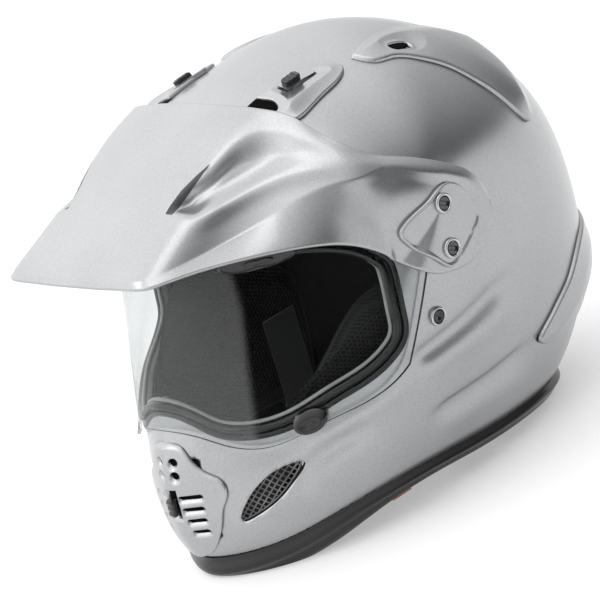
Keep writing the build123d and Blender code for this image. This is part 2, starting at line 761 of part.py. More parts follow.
def make_rear_duct():
    """Long rear outlet that runs from the crown down the side."""
    reach = half_width + overrun
    cover = side_prism(REAR_DUCT_SIDE_SHARES, 0, reach) & form(rear_duct_height)
    cover = (cover - form(duct_seat)) & top_prism(REAR_DUCT_TOP_SHARES, -head, 2 * head,
                                                  smooth=False)
    side, front = REAR_HOLE_SHARES[0] * half_width, REAR_HOLE_SHARES[1] * head
    lens = Solid.make_cylinder(rear_hole_width / 2, head, Plane(origin=place(side, front, 0)))
    for step in (-1, 1):
        shift = step * (rear_hole_length - rear_hole_width) / 2
        lens += Solid.make_cylinder(rear_hole_width / 2, head,
                                    Plane(origin=place(side, front + shift, 0)))
    lens += box((side - rear_hole_width / 2, side + rear_hole_width / 2),
                (front - (rear_hole_length - rear_hole_width) / 2,
                 front + (rear_hole_length - rear_hole_width) / 2), (0, head))
    return largest(cover - lens)


def make_side_cowl():
    """Cover low on the back, drawn to a point towards the cheek."""
    reach = half_width + overrun
    cover = side_prism(COWL_SHARES, COWL_INNER_SHARE * half_width, reach) & form(cowl_height)
    return largest(cover - form(duct_seat))


def make_vent_cover():
    """Chin vent cover with two holes and four slots a side, and the toggle's slot."""
    cover = front_prism(whole(VENT_COVER_SHARES), core, 2 * head)
    cover = (cover & form(vent_cover_height)) - form(duct_seat)
    half = toggle_width / 2 + toggle_clearance
    middle, tall = TOGGLE_SHARE * head, toggle_height / 2 + toggle_clearance
    cover -= box((-half, half), (head, 2 * head), (middle - tall, middle + tall + toggle_travel))
    for side in (1, -1):
        for share in VENT_HOLE_SHARES:
            centre = place(side * vent_hole_spread, head, share * head)
            cover -= rod(centre, Vector(0, -1, 0), head, vent_hole_radius)
        for number in range(vent_slot_count):
            start = vent_slot_start + number * vent_slot_step
            height = VENT_SLOT_SHARE * head - number * vent_slot_pitch
            end = vent_slot_start + vent_slot_length - number * vent_slot_step
            low, high = sorted((side * start, side * end))
            cover -= box((low, high), (head, 2 * head),
                         (height - vent_slot_width / 2, height + vent_slot_width / 2))
    return largest(cover)


def make_toggle():
    """Chin vent shutter with its knob standing through the cover."""
    middle = TOGGLE_SHARE * head
    back = front_on_form(0, middle) - shell_wall
    half, tall = toggle_width / 2, toggle_height / 2
    knob_front = front_on_form(0, middle, vent_cover_height + toggle_proud)
    knob = box((-half, half), (back, knob_front), (middle - tall, middle + tall))
    knob = knob.fillet(toggle_round, [edge for edge in knob.edges()
                                      if edge.center().Y < -knob_front + toggle_round])
    half, tall = half + shutter_border, tall + shutter_border
    plate = box((-half, half), (back, back + shutter_wall), (middle - tall, middle + tall))
    return knob.fuse(plate)


def make_grille():
    """Diamond mesh behind the side opening of the chin bar."""
    outline = front_prism(GRILLE_SHARES, core, 2 * head)
    sheet = (outline & form(-grille_recess)) - form(-grille_recess - grille_wall)
    lows = [min(p[i] for p in GRILLE_SHARES) for i in (0, 1)]
    highs = [max(p[i] for p in GRILLE_SHARES) for i in (0, 1)]
    wide = (highs[0] - lows[0]) * half_width
    tall = (highs[1] - lows[1]) * head
    hole = grille_pitch / 2 - grille_bar / 2
    cuts = []
    for row in range(int(2 * tall / grille_pitch) + 1):
        for column in range(int(wide / grille_pitch) + 1):
            side = lows[0] * half_width + (column + row % 2 / 2) * grille_pitch
            height = lows[1] * head + row * grille_pitch / 2
            corners = [place(side + hole, core, height), place(side, core, height + hole),
                       place(side - hole, core, height), place(side, core, height - hole)]
            cuts.append(Solid.extrude(Face(Wire.make_polygon(corners, close=True)),
                                      Vector(0, -2 * head, 0)))
    return largest(sheet.cut(*cuts))


def make_stud_rings():
    """Bright rings set in the shell behind the shield's lower corners."""
    front, height = STUD_SHARES[0] * head, STUD_SHARES[1] * head
    seat = side_on_form(front, height)
    ring = across(front, height, seat - shell_wall / 2, seat + stud_proud, stud_radius)
    ring -= across(front, height, 0, 2 * half_width, stud_radius - stud_ring_wall)
    ring -= form(duct_seat)
    return [largest(ring), mirrored(largest(ring))]


def make_stud_plugs():
    """Black domed plugs inside the rings."""
    front, height = STUD_SHARES[0] * head, STUD_SHARES[1] * head
    seat = side_on_form(front, height)
    radius = stud_radius - stud_ring_wall - seat_clearance
    plug = across(front, height, seat - shell_wall / 2, seat + stud_dome - stud_proud / 2, radius)
    plug -= form(duct_seat)
    return [largest(plug), mirrored(largest(plug))]


def make_shield_tab():
    """Domed finger tab on the shield's lower left edge."""
    side, height = TAB_SHARES[0] * half_width, TAB_SHARES[1] * head
    grow = shield_gap + shield_wall + seat_clearance
    flare = shield_flare + shield_wall + seat_clearance
    front = front_on_form(side, height, grow, flare)
    out = Vector(1, -1, 0).normalized()
    start = place(side, front, height) - out * tab_radius
    dome = rod(start, out, 2 * tab_radius, tab_radius) & form(grow + tab_height, flare
                                                              + tab_height)
    return largest(dome - form(grow, flare))


def make_brow_shutter():
    """Smoked shutter along the top of the shield."""
    side, height = BROW_SHARES[0] * half_width, BROW_SHARES[1] * head
    grow = shield_gap + shield_wall + brow_gap
    flare = shield_flare + shield_wall + brow_gap
    oval = Edge.make_ellipse(brow_length / 2, brow_width / 2,
                             Plane(origin=place(side, core, height), x_dir=(1, 0, 0),
                                   z_dir=(0, -1, 0)))
    lens = Solid.extrude(Face(Wire([oval])), Vector(0, -2 * head, 0))
    lens &= form(grow + brow_wall, flare + brow_wall)
    return largest(lens - form(grow, flare))


def ribbon(shares, side):
    """A strap seen from the front: a line of even thickness run back by its width."""
    points = [Vector(side * s * half_width, 0, h * head) for s, h in shares]
    outer, inner = [], []
    for index, point in enumerate(points):
        before = points[max(index - 1, 0)]
        after = points[min(index + 1, len(points) - 1)]
        along = (after - before).normalized()
        normal = Vector(-along.Z, 0, along.X) * (strap_wall / 2)
        outer.append(point + normal)
        inner.append(point - normal)
    edges = [Edge.make_spline(outer), Edge.make_line(outer[-1], inner[-1]),
             Edge.make_spline(inner[::-1]), Edge.make_line(inner[0], outer[0])]
    strap = Solid.extrude(Face(Wire(edges)), Vector(0, strap_width, 0))
    return strap.moved(Location((0, -STRAP_FRONT_SHARE * head - strap_width / 2, 0)))


def ring_side(number):
    """How far out the straight bar of a ring lies: the first is nearest the strap."""
    face = STRAP_SHARES[-1][0] * half_width - strap_wall / 2
    return face - loop_wall / 2 - ring_gap - ring_wire / 2 - number * (ring_wire + ring_gap)


def make_ring_strap():
    """The short strap, with the loop at its end that both rings hang in."""
    front, top = STRAP_FRONT_SHARE * head, STRAP_SHARES[-1][1] * head
    outer, inner = ring_side(0), ring_side(1)
    near, far = front - strap_width / 2, front + strap_width / 2

    def slug(radius):
        """A flat-sided bar round the places of both rings' bars."""
        solid = box((inner, outer), (near, far), (top - radius, top + radius))
        for side in (inner, outer):
            solid += rod(place(side, near, top), Vector(0, -1, 0), strap_width, radius)
        return solid

    room = ring_wire / 2 + ring_gap
    return largest((ribbon(STRAP_SHARES, 1) + slug(room + loop_wall)) - slug(room))


def make_anchors():
    """A round plate each side that holds the strap's end to the shell."""
    share, height_share = STRAP_SHARES[0]
    start = share * half_width + strap_wall / 2 + seat_clearance
    height = height_share * head
    front = STRAP_FRONT_SHARE * head
    plate = across(front, height, start, half_width, anchor_radius) & form(-shell_wall
                                                                           - liner_clearance)
    return [largest(plate), mirrored(largest(plate))]


def make_d_ring(number):
    """A D-shaped ring hanging from the loop of the short strap."""
    side = ring_side(number)
    top = STRAP_SHARES[-1][1] * head
    front = STRAP_FRONT_SHARE * head
    half = ring_half_width - ring_wire / 2
    a = place(side, front + half, top)
    b = place(side, front - half, top)
    low = place(side, front, top - ring_drop + ring_wire)
    bar = rod(b, Vector(0, -1, 0), 2 * half, ring_wire / 2)
    arc = Edge.make_three_point_arc(a, low, b)
    bow = Solid.sweep(Face(Wire([Edge.make_circle(ring_wire / 2, Plane(
        origin=a, z_dir=arc % 0))])), arc)
    ring = bar + bow
    for corner in (a, b):
        ring += Solid.make_sphere(ring_wire / 2, angle1=-90, angle2=90, angle3=360).moved(
            Location(corner))
    return largest(ring)


def make_release_tab():
    """Pull tab that hangs from the bottom of the cheek pad."""
    side = RELEASE_SHARES[0] * half_width
    top = RELEASE_SHARES[2] * head
    front = RELEASE_SHARES[1] * head
    return box((side, side + tab_wall), (front - tab_width / 2, front + tab_width / 2),
               (top - tab_drop, top))


def lifted(shape):
    """A piece tilted and lifted to where the helmet stands."""
    return shape.moved(Location((0, screw_setback, screw_height), (rest_tilt, 0, 0)))


def write(name, *shapes):
    """Trim what would lie below the rest plane, and write the node's file."""
    reach = 2 * head
    floor = box((-reach, reach), (-reach, reach), (-reach, 0))
    pieces = []
    for shape in shapes:
        for solid in lifted(shape).solids():
            if solid.bounding_box().min.Z < 0:
                solid = largest(solid - floor)
            pieces.append(solid)
    export_step(pieces[0] if len(pieces) == 1 else Compound(pieces), f"parts/{name}.step")


def main():
    """Make every node."""
    os.makedirs("parts", exist_ok=True)
    write("outer_shell", make_shell())
    write("edge_trim", make_edge_trim())
    write("port_gasket", make_gasket())
    write("crown_liner", make_crown_liner())
    write("comfort_liner", make_comfort_liner())
    write("chin_liner", make_chin_liner())
    write("neck_roll", make_neck_roll())
    write("face_shield", make_face_shield())
    write("peak", make_peak())
    write("pod_screws", *make_screws())
    write("chin_vent_cover", make_vent_cover())
    write("chin_vent_toggle", make_toggle())
    write("stud_rings", *make_stud_rings())
    write("stud_plugs", *make_stud_plugs())
    write("shield_tab", make_shield_tab())
    write("strap_anchors", *make_anchors())
    write("strap_left", make_ring_strap())
    write("strap_right", ribbon(LONG_STRAP_SHARES, -1))
    write("d_ring_outer", make_d_ring(0))
    write("d_ring_inner", make_d_ring(1))
    pairs = {
        "cheek_pad": make_cheek_pad, "pivot_base": make_pivot_base, "pod_plate": make_plate,
        "top_duct": make_top_duct, "top_slider": make_top_slider,
        "rear_duct": make_rear_duct, "side_cowl": make_side_cowl,
        "side_grille": make_grille, "brow_shutter": make_brow_shutter,
        "release_tab": make_release_tab,
    }
    for name, make in pairs.items():
        piece = make()
        write(f"{name}_left", piece)
        write(f"{name}_right", mirrored(piece))


main()
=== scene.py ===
"""Dual sport helmet, dressed for the photograph.

Working units are millimetres in the frame of the upper side screws: side (X, the wearer's
left), front (towards the chin) and height. lift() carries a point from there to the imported
model's frame in metres. The shell is a family of superellipse cuts, as in the CAD source,
and most pieces are sheets laid on that form at their own distance from it.
"""
import math

import bmesh
import bpy
import numpy as np
from mathutils import Matrix, Vector


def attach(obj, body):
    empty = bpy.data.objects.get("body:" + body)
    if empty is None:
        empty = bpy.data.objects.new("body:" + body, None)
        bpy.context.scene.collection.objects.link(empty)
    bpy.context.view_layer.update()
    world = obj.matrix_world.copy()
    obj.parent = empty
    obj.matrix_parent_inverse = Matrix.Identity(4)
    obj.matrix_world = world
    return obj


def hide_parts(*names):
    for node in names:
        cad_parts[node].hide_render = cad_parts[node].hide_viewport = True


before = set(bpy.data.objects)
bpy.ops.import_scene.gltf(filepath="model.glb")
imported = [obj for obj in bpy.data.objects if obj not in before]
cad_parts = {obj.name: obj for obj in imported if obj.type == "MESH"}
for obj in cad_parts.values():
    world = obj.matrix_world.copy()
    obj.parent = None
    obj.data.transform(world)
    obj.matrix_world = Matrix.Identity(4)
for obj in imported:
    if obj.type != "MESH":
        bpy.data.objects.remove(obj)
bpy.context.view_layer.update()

# The helmet's form

HEAD = 100.0
HALF_WIDTH = 119.0
TILT = math.radians(-2.36)
SET_BACK = -1.89
SET_UP = 165.75
# More than the form's reach forwards and upwards, where a search for its face ends
LONGEST, TALLEST = 230.0, 130.0

# Degrees up from straight ahead, reach as a share of the half length, squareness
SIDE = np.array([
    (-180, 1.57, 2.20), (-160, 1.72, 2.30), (-140, 1.87, 2.45), (-120, 1.89, 2.70),
    (-100, 1.83, 2.85), (-80, 1.85, 2.70), (-60, 2.09, 2.15), (-48, 2.10, 1.72),
    (-36, 1.77, 1.48), (-24, 1.38, 1.56), (-12, 1.14, 1.69), (0, 1.06, 1.81),
    (20, 1.01, 1.99), (40, 0.96, 2.08), (60, 0.88, 2.05), (80, 0.83, 2.00),
    (100, 0.86, 2.00), (120, 0.99, 2.00), (140, 1.15, 2.00), (160, 1.35, 2.10)])
RIM = np.array([(1.90, -1.65), (1.40, -1.605), (1.15, -1.56), (0.93, -1.49), (0.67, -1.44),
                (0.40, -1.43), (0.00, -1.45), (-0.40, -1.47), (-0.80, -1.50),
                (-1.20, -1.56), (-1.90, -1.70)])
TRIM = np.array([(1.90, -1.79), (1.40, -1.75), (1.15, -1.69), (0.93, -1.61), (0.67, -1.53),
                 (0.40, -1.50), (0.00, -1.52), (-0.40, -1.54), (-0.80, -1.58),
                 (-1.20, -1.64), (-1.90, -1.79)])
PORT = np.array([(0.00, -0.71), (0.16, -0.76), (0.29, -0.85), (0.45, -0.90), (0.62, -0.88),
                 (0.76, -0.81), (0.87, -0.75), (0.93, -0.66), (0.95, -0.50),
                 (0.945, -0.36), (0.925, -0.22), (0.895, -0.10), (0.84, 0.00),
                 (0.74, 0.065), (0.52, 0.095), (0.26, 0.10), (0.00, 0.10)])


def spline(xs, ys, at, period=None):
    """A cubic spline through (xs, ys) read at the points at. With a period it closes on
    itself; without one its ends are straight. The second derivatives m solve
    h0*m0 + 2*(h0+h1)*m1 + h1*m2 = 6*((y2-y1)/h1 - (y1-y0)/h0)."""
    xs, ys = np.asarray(xs, float), np.asarray(ys, float)
    if ys.ndim == 1:
        ys = ys[:, None]
    if period:
        xs = np.append(xs, xs[0] + period)
        ys = np.vstack([ys, ys[:1]])
    n = len(xs) - 1
    h = np.diff(xs)
    d = np.diff(ys, axis=0) / h[:, None]
    a = np.zeros((n + 1, n + 1))
    b = np.zeros((n + 1, ys.shape[1]))
    for i in range(1, n):
        a[i, i - 1], a[i, i], a[i, i + 1] = h[i - 1], 2 * (h[i - 1] + h[i]), h[i]
        b[i] = 6 * (d[i] - d[i - 1])
    if period:
        a[0, 0], a[0, 1], a[0, n - 1] = 2 * (h[-1] + h[0]), h[0], h[-1]
        b[0] = 6 * (d[0] - d[-1])
        a[n, 0], a[n, n] = 1, -1
    else:
        a[0, 0] = a[n, n] = 1
    m = np.linalg.solve(a, b)
    at = np.asarray(at, float)
    if period:
        at = xs[0] + np.mod(at - xs[0], period)
    flat = at.ravel()
    i = np.clip(np.searchsorted(xs, flat, side="right") - 1, 0, n - 1)
    t = (flat - xs[i])[:, None]
    hi = h[i][:, None]
    y = (ys[i] + t * (d[i] - hi * (2 * m[i] + m[i + 1]) / 6)
         + t**2 * m[i] / 2 + t**3 * (m[i + 1] - m[i]) / (6 * hi))
    return y.reshape(at.shape + (ys.shape[1],))


def ease(share):
    """A share from 0 to 1 with level ends: 3t^2 - 2t^3."""
    return share * share * (3 - 2 * share)


def smooth_line(points, count, closed=False):
    """Points evenly spread along a smooth curve through a few given ones."""
    points = np.asarray(points, float)
    ends = np.vstack([points, points[:1]]) if closed else points
    run = np.concatenate([[0], np.cumsum(np.linalg.norm(np.diff(ends, axis=0), axis=1))])
    fine = np.linspace(0, run[-1], 40 * len(points))
    if closed:
        curve = spline(run[:-1], points, fine, run[-1])
    else:
        curve = spline(run, points, fine)
    along = np.concatenate([[0], np.cumsum(np.linalg.norm(np.diff(curve, axis=0), axis=1))])
    want = np.linspace(0, along[-1], count + 1 if closed else count)
    even = np.stack([np.interp(want, along, curve[:, k]) for k in range(curve.shape[1])], 1)
    return even[:-1] if closed else even


def loop_of(shares, count, across=HEAD):
    """A smooth closed outline from shares."""
    return smooth_line(np.array(shares) * np.array([across, HEAD]), count, closed=True)


def ellipse(wide, tall, count, power=1.0, tall_power=None):
    """A closed outline about zero from its half width and half height; a power under one
    squares it."""
    turn = np.linspace(0, 2 * np.pi, count, endpoint=False)
    c, s = np.cos(turn), np.sin(turn)
    tall_power = power if tall_power is None else tall_power
    return np.stack([wide * np.sign(c) * np.abs(c) ** power,
                     tall * np.sign(s) * np.abs(s) ** tall_power], -1)


def reach_power(angle):
    """Reach in mm and squareness of the form at an angle in degrees."""
    both = spline(SIDE[:, 0], SIDE[:, 1:], angle, 360.0)
    return both[..., 0] * HEAD, both[..., 1]


def side_of(front, height, grow=0.0):
    """How far out the form lies at a front and a height: W*(1-(rho/R)^n)^(1/n)."""
    reach, power = reach_power(np.degrees(np.arctan2(height, front)))
    share = np.clip(np.hypot(front, height) / (reach + grow), 0, 1)
    return (HALF_WIDTH + grow) * (1 - share**power) ** (1 / power)


def inside(side, front, height, grow, flare=None):
    """Above zero inside the form grown by a distance."""
    reach, power = reach_power(np.degrees(np.arctan2(height, front)))
    reach = reach + (grow if flare is None else flare)
    return 1 - (np.abs(side) / (HALF_WIDTH + grow)) ** power - (
        np.hypot(front, height) / reach) ** power


def halve(is_in, near, reach, steps=26):
    """The last value for which is_in(value) holds between near and near + reach."""
    far = near + reach
    for _ in range(steps):
        middle = (near + far) / 2
        within = is_in(middle)
        near, far = np.where(within, middle, near), np.where(within, far, middle)
    return near


def front_of(side, height, grow=0.0, flare=None):
    """How far forward the form lies at a side and a height."""
    start = np.zeros(np.broadcast(side, height, grow).shape)
    return halve(lambda front: inside(side, front, height, grow, flare) > 0, start, LONGEST)


def top_of(side, front, grow=0.0):
    """How high the form lies at a side and a front."""
    start = np.zeros(np.broadcast(side, front, grow).shape)
    return halve(lambda height: inside(side, front, height, grow) > 0, start, TALLEST)


def on_side(points, grow, sign=1):
    """Side-view points (front, height) laid on the form at a distance."""
    f, z = points[..., 0], points[..., 1]
    return np.stack([sign * side_of(f, z, grow), f, z], -1)


def on_front(points, grow, flare=None):
    """Front-view points (side, height) laid on the form at a distance."""
    x, z = points[..., 0], points[..., 1]
    return np.stack([x, front_of(x, z, grow, flare), z], -1)


def on_top(points, grow, sign=1):
    """Top-view points (side, front) of the wearer's left laid on the form."""
    x, f = points[..., 0], points[..., 1]
    return np.stack([sign * x, f, top_of(x, f, grow)], -1)


def lift(points):
    """From side, front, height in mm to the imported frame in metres."""
    p = np.asarray(points, float)
    x, y, z = p[..., 0], -p[..., 1], p[..., 2]
    c, s = math.cos(TILT), math.sin(TILT)
    return np.stack([x, y * c - z * s + SET_BACK, y * s + z * c + SET_UP], -1) / 1000


# The camera

AZIMUTH, ELEVATION, ROLL = math.radians(55.5), math.radians(16), math.radians(19.5)
SCALE, DISTANCE = 1.75, 1900.0
CENTRE = (295.72, 197.07)
PHOTO, SENSOR = 600, 36.0


def camera_axes():
    """Right, up and back of the camera, in side, front, height order turned to X, Y, Z."""
    back = np.array([math.sin(AZIMUTH) * math.cos(ELEVATION),
                     -math.cos(AZIMUTH) * math.cos(ELEVATION), math.sin(ELEVATION)])
    right = np.array([math.cos(AZIMUTH), math.sin(AZIMUTH), 0])
    up = np.cross(back, right)
    cr, sr = math.cos(ROLL), math.sin(ROLL)
    return right * cr - up * sr, right * sr + up * cr, back


def to_photo(points):
    """Where a point of the wearer's left side falls in the photograph's frame; a point on
    the right is first mirrored, so that both sides get the same features."""
    p = np.asarray(points, float)
    right, up, back = camera_axes()
    q = np.stack([np.abs(p[..., 0]), -p[..., 1], p[..., 2]], -1)
    k = SCALE / (1 - q @ back / DISTANCE)
    return np.stack([CENTRE[0] + q @ right * k, CENTRE[1] - q @ up * k], -1)


def make_camera():
    """A long lens at the fitted place, aimed so that it needs no shift."""
    right, up, back = camera_axes()
    focal = SCALE * DISTANCE
    middle = PHOTO / 2
    aim = -back + right * (middle - CENTRE[0]) / focal - up * (middle - CENTRE[1]) / focal
    aim /= np.linalg.norm(aim)
    side = np.cross(aim, up)
    side /= np.linalg.norm(side)
    over = np.cross(side, aim)
    c, s = math.cos(TILT), math.sin(TILT)
    turn = np.array([[1, 0, 0], [0, c, -s], [0, s, c]])
    place = turn @ (back * DISTANCE) + np.array([0, SET_BACK, SET_UP])
    axes = turn @ np.stack([side, over, -aim], 1)
    data = bpy.data.cameras.new("camera")
    data.sensor_width = SENSOR
    data.lens = SENSOR * focal / PHOTO
    data.clip_start, data.clip_end = 0.1, 60.0
    eye = bpy.data.objects.new("camera", data)
    matrix = np.eye(4)
    matrix[:3, :3] = axes
    matrix[:3, 3] = place / 1000
    eye.matrix_world = Matrix(matrix.tolist())
    bpy.context.collection.objects.link(eye)
    bpy.context.scene.camera = eye


make_camera()

# Materials


def colour(text, alpha=1.0):
    """An sRGB hex colour as the linear values that the shader wants."""
    out = []
    for k in (0, 2, 4):
        v = int(text[k:k + 2], 16) / 255
        out.append(v / 12.92 if v <= 0.04045 else ((v + 0.055) / 1.055) ** 2.4)
    return (*out, alpha)


# Where in X, in metres, the shield's painted reflection, a whitish haze, starts to fade, and
# where it ends
REFLECTION_FROM, REFLECTION_TO = 0.0555, 0.0585


class Paint:
    """A material being made. Its patterns read Object coordinates, which are in metres, so
    a pattern's scale is 1000 over its real size in mm."""

    def __init__(self, name, base, rough, metal=0.0, **more):
        self.mat = bpy.data.materials.new(name)
        self.mat.use_nodes = True
        self.tree = self.mat.node_tree
        self.shader = self.tree.nodes["Principled BSDF"]
        self.out = self.tree.nodes["Material Output"]
        self.shader.inputs["Base Color"].default_value = colour(base)
        self.shader.inputs["Roughness"].default_value = rough
        self.shader.inputs["Metallic"].default_value = metal
        for key, value in more.items():
            self.shader.inputs[key.replace("_", " ")].default_value = value
        self.coords = self.add("TexCoord").outputs["Object"]

    def link(self, value, name, node=None):
        """A value, a socket or a node's first output into a node's input, which is the
        shader's unless a node is named."""
        socket = (node or self.shader).inputs[name]
        if isinstance(value, bpy.types.Node):
            value = value.outputs[0]
        if isinstance(value, bpy.types.NodeSocket):
            self.tree.links.new(value, socket)
        else:
            socket.default_value = value

    def add(self, kind, inputs=None, stops=(), **settings):
        """One node with its inputs, its settings and, on a colour ramp, its stops, each a
        position and a hex colour."""
        node = self.tree.nodes.new("ShaderNode" + kind)
        for key, value in settings.items():
            setattr(node, key, value)
        for key, value in (inputs or {}).items():
            self.link(value, key, node)
        for k, (place, tone) in enumerate(stops):
            line = node.color_ramp.elements
            stop = line[k] if k < 2 else line.new(place)
            stop.position, stop.color = place, colour(tone)
        return node


def silver_paint():
    """Silver lacquer over a moulded shell: metal flakes that sparkle finely, under a clear
    coat with a faint orange peel. The flakes are 0.6 mm; real ones are too fine to show."""
    p = Paint("silver_lacquer", "a6a7a9", 0.28, 0.94, Coat_Weight=0.12, Coat_Roughness=0.08)
    flake = p.add("TexNoise", {"Vector": p.coords, "Scale": 1000 / 0.6, "Roughness": 0.6})
    broad = p.add("TexNoise", {"Vector": p.coords, "Scale": 1000 / 50})
    peel = p.add("TexNoise", {"Vector": p.coords, "Scale": 1000 / 4, "Detail": 1.0})
    share = p.add("Math", {0: flake, 1: 0.8}, operation="MULTIPLY")
    share = p.add("Math", {0: broad, 1: 0.2, 2: share}, operation="MULTIPLY_ADD")
    p.link(p.add("ValToRGB", {"Fac": share},
                 ((0.30, "98999b"), (0.70, "b4b5b6"), (0.5, "a6a7a9"))), "Base Color")
    p.link(p.add("Math", {0: broad, 1: 0.02, 2: 0.28}, operation="MULTIPLY_ADD"), "Roughness")
    coat = p.add("Bump", {"Height": peel, "Distance": 0.00002, "Strength": 0.4})
    p.link(p.add("Bump", {"Height": flake, "Distance": 0.00001, "Strength": 0.3,
                          "Normal": coat}), "Normal")
    return p.mat


def black_rubber(name="black_rubber", base="060607", rough=0.26, top="0e0e0f"):
    """Moulded rubber, deep black with a soft shine: a fine grain, drawn at 0.6 mm so that
    it shows, and a slightly worn bloom, up to the tone top."""
    p = Paint(name, base, rough)
    grain = p.add("TexNoise", {"Vector": p.coords, "Scale": 1000 / 0.6, "Detail": 3.0})
    bloom = p.add("TexNoise", {"Vector": p.coords, "Scale": 1000 / 18, "Detail": 3.0})
    p.link(p.add("ValToRGB", {"Fac": bloom}, ((0.35, base), (0.75, top))), "Base Color")
    p.link(p.add("Math", {0: bloom, 1: 0.16, 2: rough - 0.08}, operation="MULTIPLY_ADD"),
           "Roughness")
    p.link(p.add("Bump", {"Height": grain, "Distance": 0.00001, "Strength": 0.3}), "Normal")
    return p.mat


def black_plastic(name="black_plastic", base="0d0d0e", rough=0.3):
    """Moulded black plastic, lightly grained, which gives small soft highlights."""
    p = Paint(name, base, rough, Coat_Weight=0.15)
    grain = p.add("TexNoise", {"Vector": p.coords, "Scale": 1000 / 0.4})
    broad = p.add("TexNoise", {"Vector": p.coords, "Scale": 1000 / 10})
    p.link(p.add("ValToRGB", {"Fac": broad}, ((0.3, base), (0.8, "1a1a1b"))), "Base Color")
    p.link(p.add("Bump", {"Height": grain, "Distance": 0.00002, "Strength": 0.4}), "Normal")
    return p.mat


def painted_shade_black():
    """Painted shade for the inside of an opening: near-black matt colour standing in for its
    shadow, with hardly any shine.
    """
    p = Paint("vent_dark", "020202", 0.95)
    p.shader.inputs["Specular IOR Level"].default_value = 0.1
    broad = p.add("TexNoise", {"Vector": p.coords, "Scale": 1000 / 10})
    p.link(p.add("ValToRGB", {"Fac": broad}, ((0.3, "020202"), (0.8, "050505"))),
           "Base Color")
    return p.mat


def bright_metal(name="bright_metal", base="b4b5b6", rough=0.24, low="9b9c9d",
                 high="cfd0d1"):
    """Turned metal, a clear shine broken by fine scratches, drawn at 0.5 mm to show."""
    p = Paint(name, base, rough, 1.0)
    fine = p.add("TexNoise", {"Vector": p.coords, "Scale": 1000 / 0.5, "Detail": 4.0})
    p.link(p.add("ValToRGB", {"Fac": fine}, ((0.3, low), (0.7, high))), "Base Color")
    p.link(p.add("Bump", {"Height": fine, "Distance": 0.00001, "Strength": 0.5}), "Normal")
    return p.mat


def clear_sheet(name, tint, fresnel, haze=0.0, haze_and_reflection_tone="ffffff", painted_reflection=0.0):
    """Thin clear plastic: straight through with a tint that deepens where the sheet is
    seen along its length, a mirror share by fresnel, and a faint haze of its own. The last
    argument adds a painted reflection: more of that whitish haze, for the bright surroundings
    mirrored in the sheet, on the wearer's right of the first X limit above, gone at the second."""
    p = Paint(name, tint, 0.03)
    along = p.add("LayerWeight", {"Blend": 0.5}).outputs["Facing"]
    deep = p.add("ValToRGB", {"Fac": along}, ((0.0, tint), (0.995, "5a5c5e"), (0.965, tint)))
    straight = p.add("BsdfTransparent", {"Color": deep})
    gloss = p.add("BsdfGlossy", {"Roughness": 0.02, "Color": colour("ffffff")})
    haze_and_reflection = p.add("BsdfDiffuse", {"Color": colour(haze_and_reflection_tone)})
    inner = p.add("NewGeometry").outputs["Backfacing"]
    outer = p.add("Math", {0: 1.0, 1: inner}, operation="SUBTRACT")
    mirror = p.add("Math", {0: p.add("Fresnel", {"IOR": fresnel}), 1: outer},
                   operation="MULTIPLY")
    smear = p.add("TexNoise", {"Vector": p.coords, "Scale": 1000 / 30})
    parts = p.add("SeparateXYZ", {"Vector": p.coords})
    # Painted reflection: extra haze on the wearer's right of the shield
    share = p.add("MapRange", {"Value": parts, "From Min": REFLECTION_FROM, "From Max": REFLECTION_TO,
                               "To Min": painted_reflection, "To Max": 0.0})
    amount = p.add("Math", {0: smear, 1: haze * 2, 2: share}, operation="MULTIPLY_ADD")
    body = p.add("MixShader", {0: amount, 1: straight, 2: haze_and_reflection})
    p.link(p.add("MixShader", {0: mirror, 1: body, 2: gloss}), "Surface", p.out)
    return p.mat


def mesh_fabric(name, base, light, pitch=0.0034):
    """Spacer mesh of black polyester, matt with rows of small dark holes: rounded cells of
    3.4 mm, each other row stepped by half a cell. The cells come from three families of
    stripes at 60 degrees, whose product peaks in a honeycomb. A painted shade takes the
    colour nearly to black towards the back, deep inside the helmet."""
    p = Paint(name, base, 0.85, Sheen_Weight=0.04, Sheen_Roughness=0.5)
    p.shader.inputs["Specular IOR Level"].default_value = 0.2
    parts = p.add("SeparateXYZ", {"Vector": p.coords}).outputs
    step = 2 * math.pi / (pitch * math.sin(math.radians(60)))
    total = 1.5
    for turn in (0, 60, 120):
        a = math.radians(turn)
        line = p.add("Math", {0: parts["Z"], 1: step * math.sin(a)}, operation="MULTIPLY")
        line = p.add("Math", {0: parts["Y"], 1: step * math.cos(a), 2: line},
                     operation="MULTIPLY_ADD")
        wave = p.add("Math", {0: line}, operation="COSINE")
        total = p.add("Math", {0: wave, 1: total}, operation="ADD")
    hole = p.add("Math", {0: total, 1: 1 / 4.5}, operation="MULTIPLY", use_clamp=True)
    weave = p.add("ValToRGB", {"Fac": hole}, ((0.18, light), (0.7, "020202"), (0.45, base)))
    # Painted shade: the colour falls nearly to black towards the back, deep inside the helmet
    deep = p.add("MapRange", {"Value": parts["Y"], "From Min": -0.046, "From Max": -0.022,
                              "To Min": 1.0, "To Max": 0.04})
    p.link(p.add("VectorMath", {0: weave, "Scale": deep}, operation="SCALE"), "Base Color")
    thread = p.add("TexNoise", {"Vector": p.coords, "Scale": 1000 / 0.5})
    height = p.add("Math", {0: thread, 1: 0.3}, operation="MULTIPLY")
    height = p.add("Math", {0: height, 1: hole}, operation="SUBTRACT")
    p.link(p.add("Bump", {"Height": height, "Distance": 0.0009, "Strength": 0.9}), "Normal")
    return p.mat


